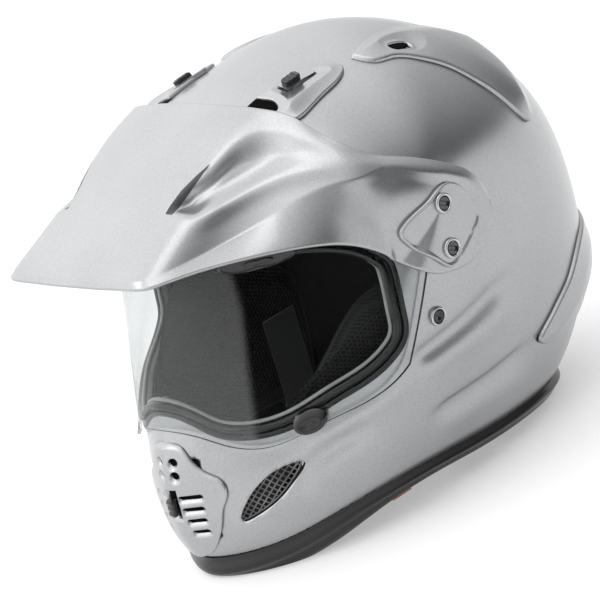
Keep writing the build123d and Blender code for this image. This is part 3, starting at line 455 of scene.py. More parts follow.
def soft_cloth(name, base, light, grain=0.0011):
    """Brushed lining cloth, matt and soft, with a fine knit drawn at 1.1 mm to show."""
    p = Paint(name, base, 0.9, Sheen_Weight=0.03, Sheen_Roughness=0.6)
    p.shader.inputs["Specular IOR Level"].default_value = 0.15
    knit = p.add("TexVoronoi", {"Vector": p.coords, "Scale": 1 / grain})
    broad = p.add("TexNoise", {"Vector": p.coords, "Scale": 1000 / 20, "Detail": 3.0})
    tone = p.add("Math", {0: broad, 1: 0.5}, operation="MULTIPLY")
    tone = p.add("Math", {0: knit, 1: 0.6, 2: tone}, operation="MULTIPLY_ADD")
    p.link(p.add("ValToRGB", {"Fac": tone}, ((0.2, base), (0.8, light))), "Base Color")
    p.link(p.add("Bump", {"Height": knit, "Distance": 0.0004, "Strength": 0.6}), "Normal")
    return p.mat


def bead_foam():
    """Moulded foam of fused beads 3.4 mm across, dark grey and matt, with pale beads and
    dark lines between them."""
    p = Paint("bead_foam", "161617", 0.8)
    bead = p.add("TexVoronoi", {"Vector": p.coords, "Scale": 1000 / 3.4})
    p.link(p.add("ValToRGB", {"Fac": bead}, ((0.1, "1b1b1c"), (0.6, "0c0c0c"))),
           "Base Color")
    p.link(p.add("Bump", {"Height": bead, "Distance": 0.0006, "Strength": 0.6}), "Normal")
    return p.mat


def webbing(name, base, light, pitch=0.0016):
    """Woven tape, matt with a twill of crossing ribs."""
    p = Paint(name, base, 0.7, Sheen_Weight=0.2)
    parts = p.add("SeparateXYZ", {"Vector": p.coords}).outputs
    ribs = []
    for kind in ("ADD", "SUBTRACT"):
        slant = p.add("Math", {0: parts["Y"], 1: parts["Z"]}, operation=kind)
        slant = p.add("Math", {0: slant, 1: 2 * math.pi / pitch}, operation="MULTIPLY")
        ribs.append(p.add("Math", {0: slant}, operation="SINE"))
    weave = p.add("Math", {0: ribs[0], 1: ribs[1]}, operation="MULTIPLY")
    weave = p.add("Math", {0: weave, 1: 0.5, 2: 0.5}, operation="MULTIPLY_ADD")
    p.link(p.add("ValToRGB", {"Fac": weave}, ((0.2, base), (0.8, light))), "Base Color")
    p.link(p.add("Bump", {"Height": weave, "Distance": 0.0003, "Strength": 0.7}), "Normal")
    return p.mat


SILVER = silver_paint()
RUBBER = black_rubber()
PIPING = black_rubber("grey_piping", "8c8d8e", 0.5, "9b9c9d")
PLASTIC = black_plastic()
GLOSS = black_plastic("gloss_black", "050506", 0.12)
# Painted shade: near black, laid in openings, in the screws' grooves and behind the grilles,
# for their shadow
PAINTED_SHADE = painted_shade_black()
METAL = bright_metal()
DULL_METAL = bright_metal("dull_metal", "5a5b5c", 0.35, "454647", "6a6b6c")
# The clear shield gets a painted reflection on the wearer's right
CLEAR = clear_sheet("clear_shield", "fafbfb", 1.08, 0.002, "c9caca", 0.075)
SMOKE = clear_sheet("smoked_shutter", "77797a", 1.45, 0.12, "8a8b8c")
# Painted shade: the shield's cut edges in dark grey, for the dark line that a clear edge shows
PAINTED_EDGE_SHADE = black_plastic("sheet_edge", "232425", 0.2)
BARS = black_plastic("mesh_bars", "6d6e70", 0.45)
# The cheek mesh carries a painted shade deeper inside
MESH = mesh_fabric("cheek_mesh", "080808", "252627", 0.0026)
# Painted shade: dark grey for the shadowed recess of the peak's gill
SHADE = black_plastic("gill_shade", "3a3b3c", 0.5)
CLOTH = soft_cloth("lining_cloth", "030303", "080808")
ROLL_CLOTH = soft_cloth("roll_cloth", "232425", "4a4b4d", 0.0012)
FOAM = bead_foam()
WEB = webbing("strap_web", "0c0c0d", "2c2c2e")
ORANGE = webbing("tab_web", "c4531c", "f0803c", 0.0010)

# Mesh making


def mesh_of(points, wrap_rows=False, wrap_columns=False):
    """The points of a grid in one list, and its faces as lists of four corners."""
    rows, columns = points.shape[:2]
    i = np.arange(rows if wrap_rows else rows - 1)
    j = np.arange(columns if wrap_columns else columns - 1)
    i, j = np.meshgrid(i, j, indexing="ij")
    i2, j2 = (i + 1) % rows, (j + 1) % columns
    faces = np.stack([i * columns + j, i2 * columns + j, i2 * columns + j2,
                      i * columns + j2], -1)
    return points.reshape(-1, 3), faces.reshape(-1, 4).tolist()


def capped(points, bottom=True):
    """The points and faces of a grid of closed rings, its first ring closed by a fan of
    triangles and, with bottom, its last one too."""
    rows, columns = points.shape[:2]
    verts, faces = mesh_of(points, False, True)
    verts = [verts, points[0].mean(0)[None]]
    tip, last = rows * columns, (rows - 1) * columns
    faces += [(tip, k, (k + 1) % columns) for k in range(columns)]
    if bottom:
        verts.append(points[-1].mean(0)[None])
        faces += [(tip + 1, last + (k + 1) % columns, last + k) for k in range(columns)]
    return np.vstack(verts), faces


def end_faces(points):
    """The two many-sided faces that close the ends of a tube."""
    rows, columns = points.shape[:2]
    return [tuple(range(columns - 1, -1, -1)),
            tuple((rows - 1) * columns + k for k in range(columns))]


def piece(name, verts, faces, paints, body="helmet", replaces=(), slot=None, index=None,
          sharp=35.0, closed=True, weld=0.0):
    """A mesh object from points in mm, its materials, and the body it rides on. With
    closed its faces are turned outwards, and points closer than weld mm are joined."""
    data = bpy.data.meshes.new(name)
    faces = [tuple(int(k) for k in face) for face in faces]
    data.from_pydata(lift(verts).tolist(), [], faces)
    paints = paints if isinstance(paints, (list, tuple)) else [paints]
    for paint in paints:
        data.materials.append(paint)
    if index is not None:
        data.polygons.foreach_set("material_index", np.asarray(index, dtype=np.int32))
    work = bmesh.new()
    work.from_mesh(data)
    if weld:
        bmesh.ops.remove_doubles(work, verts=work.verts, dist=weld / 1000)
    if closed:
        bmesh.ops.recalc_face_normals(work, faces=work.faces)
    work.to_mesh(data)
    work.free()
    data.shade_smooth()
    data.set_sharp_from_angle(angle=math.radians(sharp))
    made = bpy.data.objects.new(name, data)
    bpy.context.collection.objects.link(made)
    if replaces:
        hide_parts(*replaces)
    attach(made, body)
    return made


def both_sides(make):
    """Calls a maker for the wearer's left and right, with +1 and -1."""
    make("left", 1)
    make("right", -1)


def flat_distance(points, line):
    """Distance of 2-D points to a closed polyline, and whether each is inside it."""
    shape = points.shape[:-1]
    p = points.reshape(-1, 2)
    a = np.asarray(line, float)
    b = np.roll(a, -1, axis=0)
    best = np.full(len(p), 1e9)
    crossings = np.zeros(len(p), int)
    for u, v in zip(a, b):
        d = v - u
        t = np.clip(((p - u) @ d) / max(d @ d, 1e-9), 0, 1)
        best = np.minimum(best, np.hypot(*(p - u - t[:, None] * d).T))
        crossings += ((u[1] > p[:, 1]) != (v[1] > p[:, 1])) & (
            p[:, 0] < d[0] * (p[:, 1] - u[1]) / (d[1] if d[1] else 1e-9) + u[0])
    return best.reshape(shape), (crossings % 2 == 1).reshape(shape)


def signed(points, line):
    """Distance to a closed outline, above zero outside it."""
    far, is_in = flat_distance(points, line)
    return np.where(is_in, -far, far)


def clip(verts, faces, value):
    """Keeps where value is above zero. Faces that cross zero are cut along it."""
    verts = list(np.asarray(verts, float))
    value = list(np.asarray(value, float))
    keep, cuts = [], {}
    above = np.asarray(value) > 0
    for face in faces:
        flags = [above[k] for k in face]
        if all(flags):
            keep.append(tuple(face))
            continue
        if not any(flags):
            continue
        ring = []
        for k, a in enumerate(face):
            b = face[(k + 1) % len(face)]
            if above[a]:
                ring.append(a)
            if above[a] != above[b]:
                key = (min(a, b), max(a, b))
                if key not in cuts:
                    t = value[a] / (value[a] - value[b])
                    cuts[key] = len(verts)
                    verts.append(verts[a] + (verts[b] - verts[a]) * t)
                ring.append(cuts[key])
        if len(ring) > 2:
            keep.append(tuple(ring))
    used = sorted({k for face in keep for k in face})
    place = {k: n for n, k in enumerate(used)}
    return np.array([verts[k] for k in used]), [tuple(place[k] for k in f) for f in keep]


def solidify(made, wall, offset=-1.0):
    """Gives a sheet its wall, in mm, and returns the modifier."""
    step = made.modifiers.new("wall", "SOLIDIFY")
    step.thickness, step.offset = wall / 1000, offset
    step.use_even_offset = True
    step.use_quality_normals = True
    return step


# The shell


def photo_field(points):
    """How far the shell's surface stands out of the plain form, in mm, from soft channels
    and ribs traced in the photograph's frame. Each is a line with a half width and a
    height; its profile across is exp(-(d/w)^2) and it fades out towards both ends."""
    where = to_photo(points)
    x = np.abs(points[..., 0])
    rise = np.zeros(where.shape[:-1])
    for line, half, height, side in SHELL_LINES:
        line = smooth_line(line, 60)
        d, t, s = along_line(where, line)
        skew = np.where(s > 0, 1 + side, 1 - side)
        fade = np.clip(np.minimum(t / LINE_START, (1 - t) / LINE_END), 0, 1)
        rise += height * ease(fade) * np.exp(-(d / (half * skew)) ** 2)
    return rise * np.clip((x - MIDDLE_HALF) / MIDDLE_FADE, 0, 1)


def along_line(points, line):
    """Distance to a polyline, share of the way along it, and the side of it."""
    shape = points.shape[:-1]
    p = points.reshape(-1, 2)
    seg = np.diff(line, axis=0)
    run = np.concatenate([[0], np.cumsum(np.hypot(*seg.T))])
    best = np.full(len(p), 1e9)
    share, side = np.zeros(len(p)), np.zeros(len(p))
    for k, (u, d) in enumerate(zip(line[:-1], seg)):
        t = np.clip(((p - u) @ d) / max(d @ d, 1e-9), 0, 1)
        gap = p - u - t[:, None] * d
        far = np.hypot(*gap.T)
        is_near = far < best
        best = np.where(is_near, far, best)
        share = np.where(is_near, (run[k] + t * (run[k + 1] - run[k])) / run[-1], share)
        side = np.where(is_near, np.sign(d[0] * gap[:, 1] - d[1] * gap[:, 0]), side)
    return best.reshape(shape), share.reshape(shape), side.reshape(shape)


# Shares of a line over which it fades in and out; no line reaches within MIDDLE_HALF mm
# of the middle, and each is whole MIDDLE_FADE mm further out
LINE_START, LINE_END = 0.22, 0.28
MIDDLE_HALF, MIDDLE_FADE = 18, 12
# Line in the photograph, half width in its pixels, height in mm, lean to one side
SHELL_LINES = (
    (((400, 372), (430, 348), (462, 322), (500, 283), (520, 262)), 9, -3.2, 0.35),
    (((415, 380), (450, 356), (485, 330), (520, 296)), 9, 1.0, 0.0),
    (((425, 424), (452, 404), (486, 381), (522, 352), (545, 330)), 8, -3.3, 0.35),
    (((430, 436), (462, 416), (498, 394), (530, 368)), 8, 1.0, 0.0),
    (((296, 500), (304, 480), (320, 460), (345, 442), (380, 424)), 10, -2.4, 0.0),
    (((300, 448), (322, 438), (352, 421), (392, 396), (420, 374)), 9, 1.5, 0.0),
    (((190, 442), (215, 452), (245, 456), (275, 452), (300, 440)), 5, -0.8, 0.0),
)


def form_at(phi, t, grow=0.0, flare=None):
    """The form as a grid: a column for each angle phi round the side profile, and a row
    for each t, at x = W*sin(t)."""
    reach, power = reach_power(phi)
    reach = reach + (grow if flare is None else flare)
    share = np.sin(t)[None, :]
    radius = reach[:, None] * np.clip(1 - np.abs(share) ** power[:, None], 0, 1) ** (
        1 / power[:, None])
    side = np.broadcast_to(share * (HALF_WIDTH + grow), radius.shape)
    a = np.radians(phi)[:, None]
    return np.stack([side, radius * np.cos(a), radius * np.sin(a)], -1)


def form_grid(columns, rows, grow, flare=None, low=-180.0, high=180.0, reach=1.0):
    """The form from one side to the other, between the angles low and high in degrees."""
    t = np.linspace(-np.pi / 2 * reach, np.pi / 2 * reach, rows)
    return form_at(np.linspace(low, high, columns, endpoint=high - low < 360), t, grow, flare)


def push_out(points, amount):
    """Moves form points along the form's outward direction, by growing their radius and
    side together: the gradient of (x/W)^n + (rho/R)^n."""
    x, f, z = points[..., 0], points[..., 1], points[..., 2]
    phi = np.degrees(np.arctan2(z, f))
    reach, power = reach_power(phi)
    rho = np.hypot(f, z) + 1e-9
    gx = np.sign(x) * (np.abs(x) / HALF_WIDTH) ** (power - 1) / HALF_WIDTH
    gr = (rho / reach) ** (power - 1) / reach
    length = np.hypot(gx, gr)
    step = np.stack([gx, gr * f / rho, gr * z / rho], -1) / length[..., None]
    return points + step * np.asarray(amount)[..., None]


def height_of(line, front):
    """How high a side-view line is at a distance forward, both in mm."""
    line = line[np.argsort(line[:, 0])] * HEAD
    return spline(line[:, 0], line[:, 1], front)[..., 0]


def rim_gap(points, line):
    """How far above a side-view line a point lies, in mm."""
    return points[..., 2] - height_of(line, np.clip(points[..., 1], -190, 190))


def half_outline(shares, count):
    """A closed smooth outline from its right half, given from the bottom middle round."""
    half = np.array(shares) * np.array((HALF_WIDTH, HEAD))
    other = half[-2:0:-1] * np.array([-1, 1])
    return smooth_line(np.vstack([half, other]), count, closed=True)


PORT_LINE = half_outline(PORT, 260)
GRILLE = np.array([(0.30, -1.37), (0.355, -1.245), (0.435, -1.15), (0.52, -1.10),
                   (0.595, -1.10), (0.56, -1.18), (0.465, -1.29), (0.38, -1.345)])
GRILLE_LINE = loop_of(GRILLE, 70, HALF_WIDTH)
# Points further forward than FRONT belong to the front; BEYOND stands for any far distance
FRONT, BEYOND = 15, 50
SHELL_WALL = 4.0
INLET_HALF, INLET_AT, INLET_HIGH = 22, 120, 24


def make_shell():
    """The outer shell: the form as a fine sheet, with the channels pushed in, cut at the
    lower edge, the eye port, the two grille openings and the chin inlet."""
    points = form_grid(520, 250, 0.0)
    points = push_out(points, photo_field(points))
    verts, faces = mesh_of(points, wrap_rows=True)
    verts, faces = clip(verts, faces, rim_gap(verts, RIM))
    openings = (
        lambda p: signed(p[:, [0, 2]], PORT_LINE),
        lambda p: signed(p[:, [0, 2]], GRILLE_LINE),
        lambda p: signed(p[:, [0, 2]] * np.array([-1, 1]), GRILLE_LINE),
        lambda p: np.maximum(np.abs(p[:, 0]) - INLET_HALF,
                             np.abs(p[:, 2] + INLET_AT) - INLET_HIGH),
    )
    for gap in openings:
        verts, faces = clip(verts, faces, np.where(verts[:, 1] > FRONT, gap(verts), BEYOND))
    made = piece("shell", verts, faces, [SILVER, PAINTED_SHADE], replaces=("outer_shell",),
                 slot="silver_shell", weld=0.02)
    solidify(made, SHELL_WALL)


def sweep(name, path, across, out, section, paint, wrap, **more):
    """A section of (across, out) points carried along a path, each station of which has
    an across and an out direction."""
    points = (path[:, None] + across[:, None] * section[None, :, :1]
              + out[:, None] * section[None, :, 1:])
    verts, faces = mesh_of(points, wrap, True)
    piece(name, verts, faces + ([] if wrap else end_faces(points)), paint, **more)


def unit(vectors):
    """Vectors made one long."""
    return vectors / np.maximum(np.linalg.norm(vectors, axis=-1, keepdims=True), 1e-9)


def outward(points):
    """The form's outward direction at points near it."""
    return unit(push_out(points, np.ones(points.shape[:-1])) - points)


def tangents(path, wrap=True):
    """The direction along a path at each of its points."""
    if wrap:
        return unit(np.roll(path, -1, axis=0) - np.roll(path, 1, axis=0))
    return unit(np.gradient(path, axis=0))


# Into the port and out of the form, in mm
GASKET_SECTION = (
    (-2.2, 0.1), (-1.9, 1.0), (-0.7, 1.5), (0.6, 1.2), (1.3, 0.1), (1.7, -1.3), (2.4, -1.6),
    (3.0, -0.6), (4.0, 0.3), (5.4, 0.3), (6.4, -0.7), (6.6, -2.6), (5.9, -4.6), (4.6, -7.0),
    (3.0, -9.6), (0.6, -9.8), (-0.2, -7), (-0.4, -3), (-0.6, 0))
PIPING_AT, PIPING_SIZE = (6.3, -5.2), (0.9, 1.3)
# A point amid the eye port
PORT_CENTRE = (0, 120, -40)


def make_gasket():
    """Black rubber round the eye port: a bead over the shell's edge, a groove, a raised
    second lip and a skirt inside, with a grey piping let into it."""
    path = on_front(PORT_LINE, 0.0)
    out = outward(path)
    into = unit(np.cross(out, tangents(path)))
    if np.mean(np.sum(into * (np.array(PORT_CENTRE) - path), -1)) < 0:
        into = -into
    section = smooth_line(GASKET_SECTION, 72, closed=True)
    sweep("port_rubber", path, into, out, section, RUBBER, True,
          replaces=("port_gasket",), slot="black_rubber", sharp=50)
    ring = np.array(PIPING_AT) + ellipse(*PIPING_SIZE, 12)
    sweep("port_piping", path, into, out, ring, PIPING, True, slot="black_rubber")


def rim_path(count):
    """The shell's lower edge as a closed line, from the chin round by the left: where the
    form meets the side-view rim line."""
    f = np.linspace(-118, 141, 6000)
    z = height_of(RIM, f)
    reach, power = reach_power(np.degrees(np.arctan2(z, f)))
    gap = 1 - (np.hypot(f, z) / reach) ** power
    good = gap > 0
    f, z, gap = f[good], z[good], gap[good]
    x = HALF_WIDTH * gap ** (1 / power[good])
    x[0] = x[-1] = 0.0
    left = np.stack([x, f, z], -1)[::-1]
    right = left[::-1][1:-1] * np.array([-1, 1, 1])
    loop = np.vstack([left, right])
    steps = np.linalg.norm(np.diff(np.vstack([loop, loop[:1]]), axis=0), axis=1)
    run = np.concatenate([[0], np.cumsum(steps)])
    want = np.linspace(0, run[-1], count, endpoint=False)
    closed = np.vstack([loop, loop[:1]])
    return np.stack([np.interp(want, run, closed[:, k]) for k in range(3)], -1)


TRIM_DROP, TRIM_FORWARD = 7.0, 3.0
# Where the search for the band's outer face starts, and how far it goes
TRIM_SEARCH = (-8.0, 26.0)
# How far down the band, how much of the moved form's offset counts, and the depth behind it
TRIM_SECTION = (
    (-1.0, 0.0, 0.1), (-0.7, 0.0, 0.8), (0.2, 0.55, 0.5), (1.0, 1.0, 0.15), (3.0, 1.0, 0.3),
    (6.0, 1.0, 0.35), (8.6, 1.0, 0.0), (9.7, 1.0, -1.0), (10.0, 1.0, -2.5),
    (9.4, 1.0, -4.3), (7.6, 1.0, -5.1), (3.6, 1.0, -5.1), (0.9, 1.0, -5.0),
    (0.2, 0.6, -4.4), (0.0, 0.1, -1.4), (-0.6, 0.0, -0.3))


def make_trim():
    """Black rubber band round the lower edge. Its outer face is the form moved down and
    forward, found at each station by halving; at the chin it is deeper."""
    path = rim_path(420)
    for _ in range(6):
        path = (np.roll(path, 1, axis=0) + 2 * path + np.roll(path, -1, axis=0)) / 4
    out = outward(path)
    along = tangents(path)
    down = unit(np.cross(along, out))
    if np.mean(down[:, 2]) > 0:
        down = -down
    depth = (path[:, 2] - height_of(TRIM, path[:, 1])) / np.maximum(-down[:, 2], 0.5)
    drop, share, behind = smooth_line(TRIM_SECTION, 60, closed=True).T
    at = path[:, None] + down[:, None] * (drop[None, :] * depth[:, None] / 10.0)[..., None]

    def is_in(gap):
        """Whether the points gap mm out of the shell lie inside the moved form."""
        q = at + out[:, None] * gap[..., None]
        return inside(q[..., 0], q[..., 1] - TRIM_FORWARD, q[..., 2] + TRIM_DROP, 0.0) > 0

    face = halve(is_in, np.full(at.shape[:2], TRIM_SEARCH[0]), TRIM_SEARCH[1], 22)
    points = at + out[:, None] * (face * share + behind)[..., None]
    piece("lower_rubber", *mesh_of(points, True, True), RUBBER, replaces=("edge_trim",),
          slot="black_rubber", sharp=50)


make_shell()
make_gasket()
make_trim()

# Sheets laid on the form

# A point inside the head that covers are seen from, and a height over the form in mm at
# which their outlines are drawn
HEAD_CORE = (0.0, -10.0, -20.0)
ABOVE = 5.0


def project(points, grow, flare=None, core=HEAD_CORE):
    """Points moved along rays from a point inside the head until they lie on the form
    grown by a distance, by halving."""
    core = np.asarray(core)
    ray = points - core

    def is_in(share):
        """Whether the points this share along their rays lie inside the form."""
        q = core + ray * share[..., None]
        return inside(q[..., 0], q[..., 1], q[..., 2], grow, flare) > 0

    return core + ray * halve(is_in, np.full(points.shape[:-1], 0.2), 2.8)[..., None]


def patch(name, outline, profile, paint, rings=26, low=0.15, core=HEAD_CORE, flare=0.0,
          **more):
    """A cover laid on the form, reaching flare mm further forward than the form does.
    outline is a closed 3-D line; profile(inset, points) gives the height over the form at
    an inset in mm from the outline, and the ring spacing gets finer towards the edge,
    which turns down to the height low."""
    def lay(points, grow):
        """The points on the form grown by a distance, and flared."""
        return project(points, grow, grow + flare, core)

    centre = outline.mean(0)
    share = 1 - (1 - np.linspace(0.02, 1, rings)) ** 1.7
    span = np.linalg.norm(outline - centre, axis=1)
    layers = []
    for s in share:
        flat = centre + (outline - centre) * s
        flat = lay(flat, ABOVE)
        inset = (1 - s) * span
        layers.append(lay(flat, profile(inset, flat)))
    edge = lay(outline, ABOVE)
    top = profile(np.zeros(len(outline)), edge)
    for part in (0.66, 0.33, 0.0):
        layers.append(lay(edge, low + (top - low) * part))
    under = centre + (outline - centre) * 0.93
    layers.append(lay(lay(under, ABOVE), low))
    verts, faces = capped(np.stack(layers))
    piece(name, verts, faces, paint, **more)


def level(height):
    """A profile that has one height everywhere."""
    return lambda inset, where: height + 0 * inset


def dome(inset, height, radius):
    """A height that rises from the edge over a rounded corner."""
    t = np.clip(inset / radius, 0, 1)
    return height * np.sqrt(np.clip(1 - (1 - t) ** 2, 0, 1))


# Face shield

SHIELD_TOP = np.array([(0.04, -0.10), (0.18, -0.04), (0.32, 0.02), (0.52, 0.08),
                       (0.72, 0.12), (0.95, 0.14), (1.18, 0.14), (1.60, 0.14)]) * HEAD
SHIELD_LOW = np.array([(1.60, -0.76), (1.39, -0.78), (1.33, -0.83), (1.26, -0.91),
                       (1.18, -0.955), (1.05, -0.95), (0.91, -0.91), (0.70, -0.87),
                       (0.52, -0.81), (0.36, -0.70), (0.24, -0.60), (0.15, -0.53),
                       (0.02, -0.45), (-0.07, -0.38)]) * HEAD
# How far the shield stands off the form at the sides and at the front, and its wall
SHIELD_OFF, SHIELD_FLARE, SHIELD_WALL = 3.0, 6.0, 2.2
# Radii of the ear round the lower screw, of its bush and of the notch round the stud
EAR, BUSH, NOTCH = 16, 8.3, 7.4
SCREWS = ((0.0, 0.0), (4.0, -25.0))
STUD = (18.0, -60.0)


def round_gap(points, centre):
    """Distance of points to a centre in the side view."""
    return np.hypot(points[:, 1] - centre[0], points[:, 2] - centre[1])


def make_shield():
    """Clear sheet standing off the form, cut to its side-view outline with a round ear at
    the pivot and a notch round the stud."""
    points = form_grid(240, 300, SHIELD_OFF, SHIELD_FLARE, -60.0, 40.0, 0.985)
    verts, faces = mesh_of(points)
    line = np.vstack([smooth_line(SHIELD_TOP, 90), smooth_line(SHIELD_LOW, 160)])
    blade = -signed(verts[:, 1:], line)
    ear = EAR - round_gap(verts, SCREWS[1])
    verts, faces = clip(verts, faces, np.maximum(blade, ear))
    for centre, radius in ((SCREWS[1], BUSH), (STUD, NOTCH)):
        verts, faces = clip(verts, faces, round_gap(verts, centre) - radius)
    made = piece("clear_sheet", verts, faces, [CLEAR, PAINTED_EDGE_SHADE], "shield",
                 ("face_shield",), "clear_shield", weld=0.01)
    # The cut edges take the second material, a painted shade
    solidify(made, SHIELD_WALL, 1.0).material_offset_rim = 1


# How much further forward than the sides the shield and what is on it stand at the front
FLARE = SHIELD_FLARE - SHIELD_OFF


def round_tab():
    """The domed finger tab on the shield's lower left edge, with a finger hollow."""
    flat = np.array([0.68 * HALF_WIDTH, -0.87 * HEAD]) + ellipse(7.2, 6.6, 64)
    outline = on_front(flat, 5.2, 5.2 + FLARE)

    def rise(inset, where):
        """A button with a hollow in its upper half."""
        return 5.4 + dome(inset, 3.8, 4.2) - 1.0 * np.exp(-((inset - 7) / 2.5) ** 2)

    patch("finger_tab", outline, rise, GLOSS, body="shield", replaces=("shield_tab",),
          slot="black_plastic", low=4.6, rings=18, flare=FLARE)


def make_brow(which, sign):
    """Smoked shutter: a flat capsule with a raised rim and a little black latch."""
    centre, flip = np.array([0.60 * HALF_WIDTH, 4.5]), np.array([sign, 1])
    flat = (centre + ellipse(18.5, 4.3, 96, 0.8, 1.0)) * flip
    outline = on_front(flat, 5.5, 5.5 + FLARE)

    def rise(inset, where):
        """Thin plate with a rim."""
        return 5.9 + dome(inset, 1.3, 1.2) - 0.6 * np.clip((inset - 1.4) / 0.8, 0, 1)

    patch(f"smoked_shutter_{which}", outline, rise, SMOKE, body=f"brow_{which}",
          replaces=(f"brow_shutter_{which}",), slot="smoked_shield", low=5.5, rings=16,
          flare=FLARE)
    small = (centre + [2, 0] + ellipse(7, 1.3, 96, 0.8, 1.0)) * flip
    patch(f"shutter_latch_{which}", on_front(small, 5.5, 5.5 + FLARE),
          lambda inset, where: 6.7 + dome(inset, 1.3, 1.0), GLOSS, body=f"brow_{which}",
          slot="black_plastic", low=6.3, rings=10, flare=FLARE)


# Peak

# Upright cuts from the middle plane outwards: start and end in plan, the outer face as
# (share of the way, height share), and which row of it is the ridge
PEAK = (
    ((0.00, 0.53, 0.00, 1.575),
     ((0.0, 0.82), (0.24, 0.70), (0.49, 0.55), (0.745, 0.385), (0.985, 0.228), (1.0, 0.20)), 4),
    ((0.17, 0.53, 0.18, 1.575),
     ((0.0, 0.815), (0.24, 0.70), (0.49, 0.55), (0.745, 0.385), (0.985, 0.23), (1.0, 0.20)), 4),
    ((0.30, 0.51, 0.36, 1.575),
     ((0.0, 0.80), (0.24, 0.69), (0.49, 0.54), (0.745, 0.38), (0.985, 0.235), (1.0, 0.205)), 4),
    ((0.40, 0.48, 0.54, 1.56),
     ((0.0, 0.78), (0.24, 0.67), (0.47, 0.52), (0.74, 0.37), (0.965, 0.25), (1.0, 0.215)), 4),
    ((0.49, 0.45, 0.66, 1.30),
     ((0.0, 0.755), (0.25, 0.65), (0.50, 0.48), (0.68, 0.335), (0.80, 0.24), (1.0, 0.20)), 4),
    ((0.57, 0.41, 0.80, 0.98),
     ((0.0, 0.72), (0.20, 0.63), (0.45, 0.48), (0.72, 0.28), (0.86, 0.215), (1.0, 0.155)), 3),
    ((0.67, 0.38, 0.905, 0.71),
     ((0.0, 0.67), (0.20, 0.61), (0.50, 0.475), (0.77, 0.335), (0.88, 0.21), (1.0, 0.085)), 3),
    ((0.78, 0.36, 0.97, 0.50),
     ((0.0, 0.58), (0.20, 0.54), (0.55, 0.445), (0.85, 0.34), (0.93, 0.18), (1.0, -0.02)), 3),
    ((0.89, 0.31, 1.015, 0.38),
     ((0.0, 0.48), (0.25, 0.44), (0.55, 0.39), (0.80, 0.32), (0.90, 0.12), (1.0, -0.14)), 3),
)
# The arm in the side view: top edge, ridge and low edge of each cut
ARM = (
    ((0.20, 0.375), (0.215, 0.315), (0.32, -0.20)),
    ((0.05, 0.295), (0.07, 0.235), (0.20, -0.315)),
    ((-0.12, 0.19), (-0.085, 0.135), (0.05, -0.37)),
    ((-0.265, 0.075), (-0.215, 0.035), (-0.10, -0.375)),
    ((-0.345, -0.05), (-0.285, -0.06), (-0.235, -0.325)),
    ((-0.362, -0.13), (-0.33, -0.135), (-0.31, -0.265)),
)
# Heights of the arm's rear edge and ridge over the form, in mm
ARM_REAR, ARM_RIDGE = 7.7, 10.2
TOP_ROWS, FACE_ROWS = 96, 40
PEAK_WALL = 2.4


def peak_cuts():
    """Every cut from the middle outwards, sampled from the rear edge over the ridge to the
    low edge, with the same number of points before and after the ridge."""
    cuts = []
    top, face = np.linspace(0, 1, TOP_ROWS), np.linspace(0, 1, FACE_ROWS + 1)[1:]
    grow = np.concatenate([ARM_REAR + (ARM_RIDGE - ARM_REAR) * np.sin(top * np.pi / 2),
                           ARM_RIDGE - 0.9 * np.clip(face / 0.12, 0, 1) + 0.2 * face])
    for (s0, f0, s1, f1), rows, ridge in PEAK:
        share, height = np.array(rows).T
        points = np.stack([(s0 + (s1 - s0) * share) * HALF_WIDTH,
                           (f0 + (f1 - f0) * share) * HEAD, height * HEAD], -1)
        first = spline(share[:ridge + 1] / share[ridge], points[:ridge + 1], top)
        left = points[ridge:]
        run = np.linspace(0, 1, len(left))
        second = spline(run, left, face)
        cuts.append(np.vstack([first, second]))
    for high, ridge, low in ARM:
        high, ridge, low = (np.array(p) * HEAD for p in (high, ridge, low))
        first = high + (ridge - high) * top[:, None]
        second = ridge + (low - ridge) * face[:, None]
        both = np.vstack([first, second])
        cuts.append(np.stack([side_of(both[:, 0], both[:, 1], grow), both[:, 0], both[:, 1]],
                             -1))
    return np.array(cuts), grow


def peak_field(where):
    """Height in mm of what is drawn on the peak's top, from lines traced in the
    photograph: a sunk panel with a step at its left edge, and a long rib below it."""
    panel = smooth_line(PANEL_TOP, 70)
    low = smooth_line(PANEL_LOW, 70)
    ring = np.vstack([panel, low[::-1]])
    is_in = flat_distance(where, ring)[1]
    to_low = along_line(where, low)[0]
    to_top, top_share, _ = along_line(where, panel)
    width = 5.0 + 22.0 * np.clip((top_share - 0.14) / 0.3, 0, 1)
    wall, soft = (ease(np.clip(s, 0, 1)) for s in (to_top / width, to_low / 24.0))
    depth = PANEL_DEPTH * np.clip(1.02 - top_share, 0, 1) ** 0.7
    rise = -depth * np.where(is_in, wall * soft, 0)
    rib = smooth_line(RIB, 60)
    d, t, _ = along_line(where, rib)
    fade = np.clip(np.minimum(t / 0.25, (1 - t) / 0.4), 0, 1)
    rise += RIB_HIGH * ease(fade) * np.exp(-(d / 9.0) ** 2)
    lip = smooth_line(PANEL_TOP[:4], 30)
    d, t, _ = along_line(where, lip)
    fade = np.clip((1 - t) / 0.5, 0, 1)
    return rise + LIP_HIGH * fade * np.where(is_in, 0, np.exp(-(d / 8.0) ** 2))


# In mm: how deep the panel is sunk, and how high the rib and the lip stand
PANEL_DEPTH, RIB_HIGH, LIP_HIGH = 6.0, 1.8, 0.6
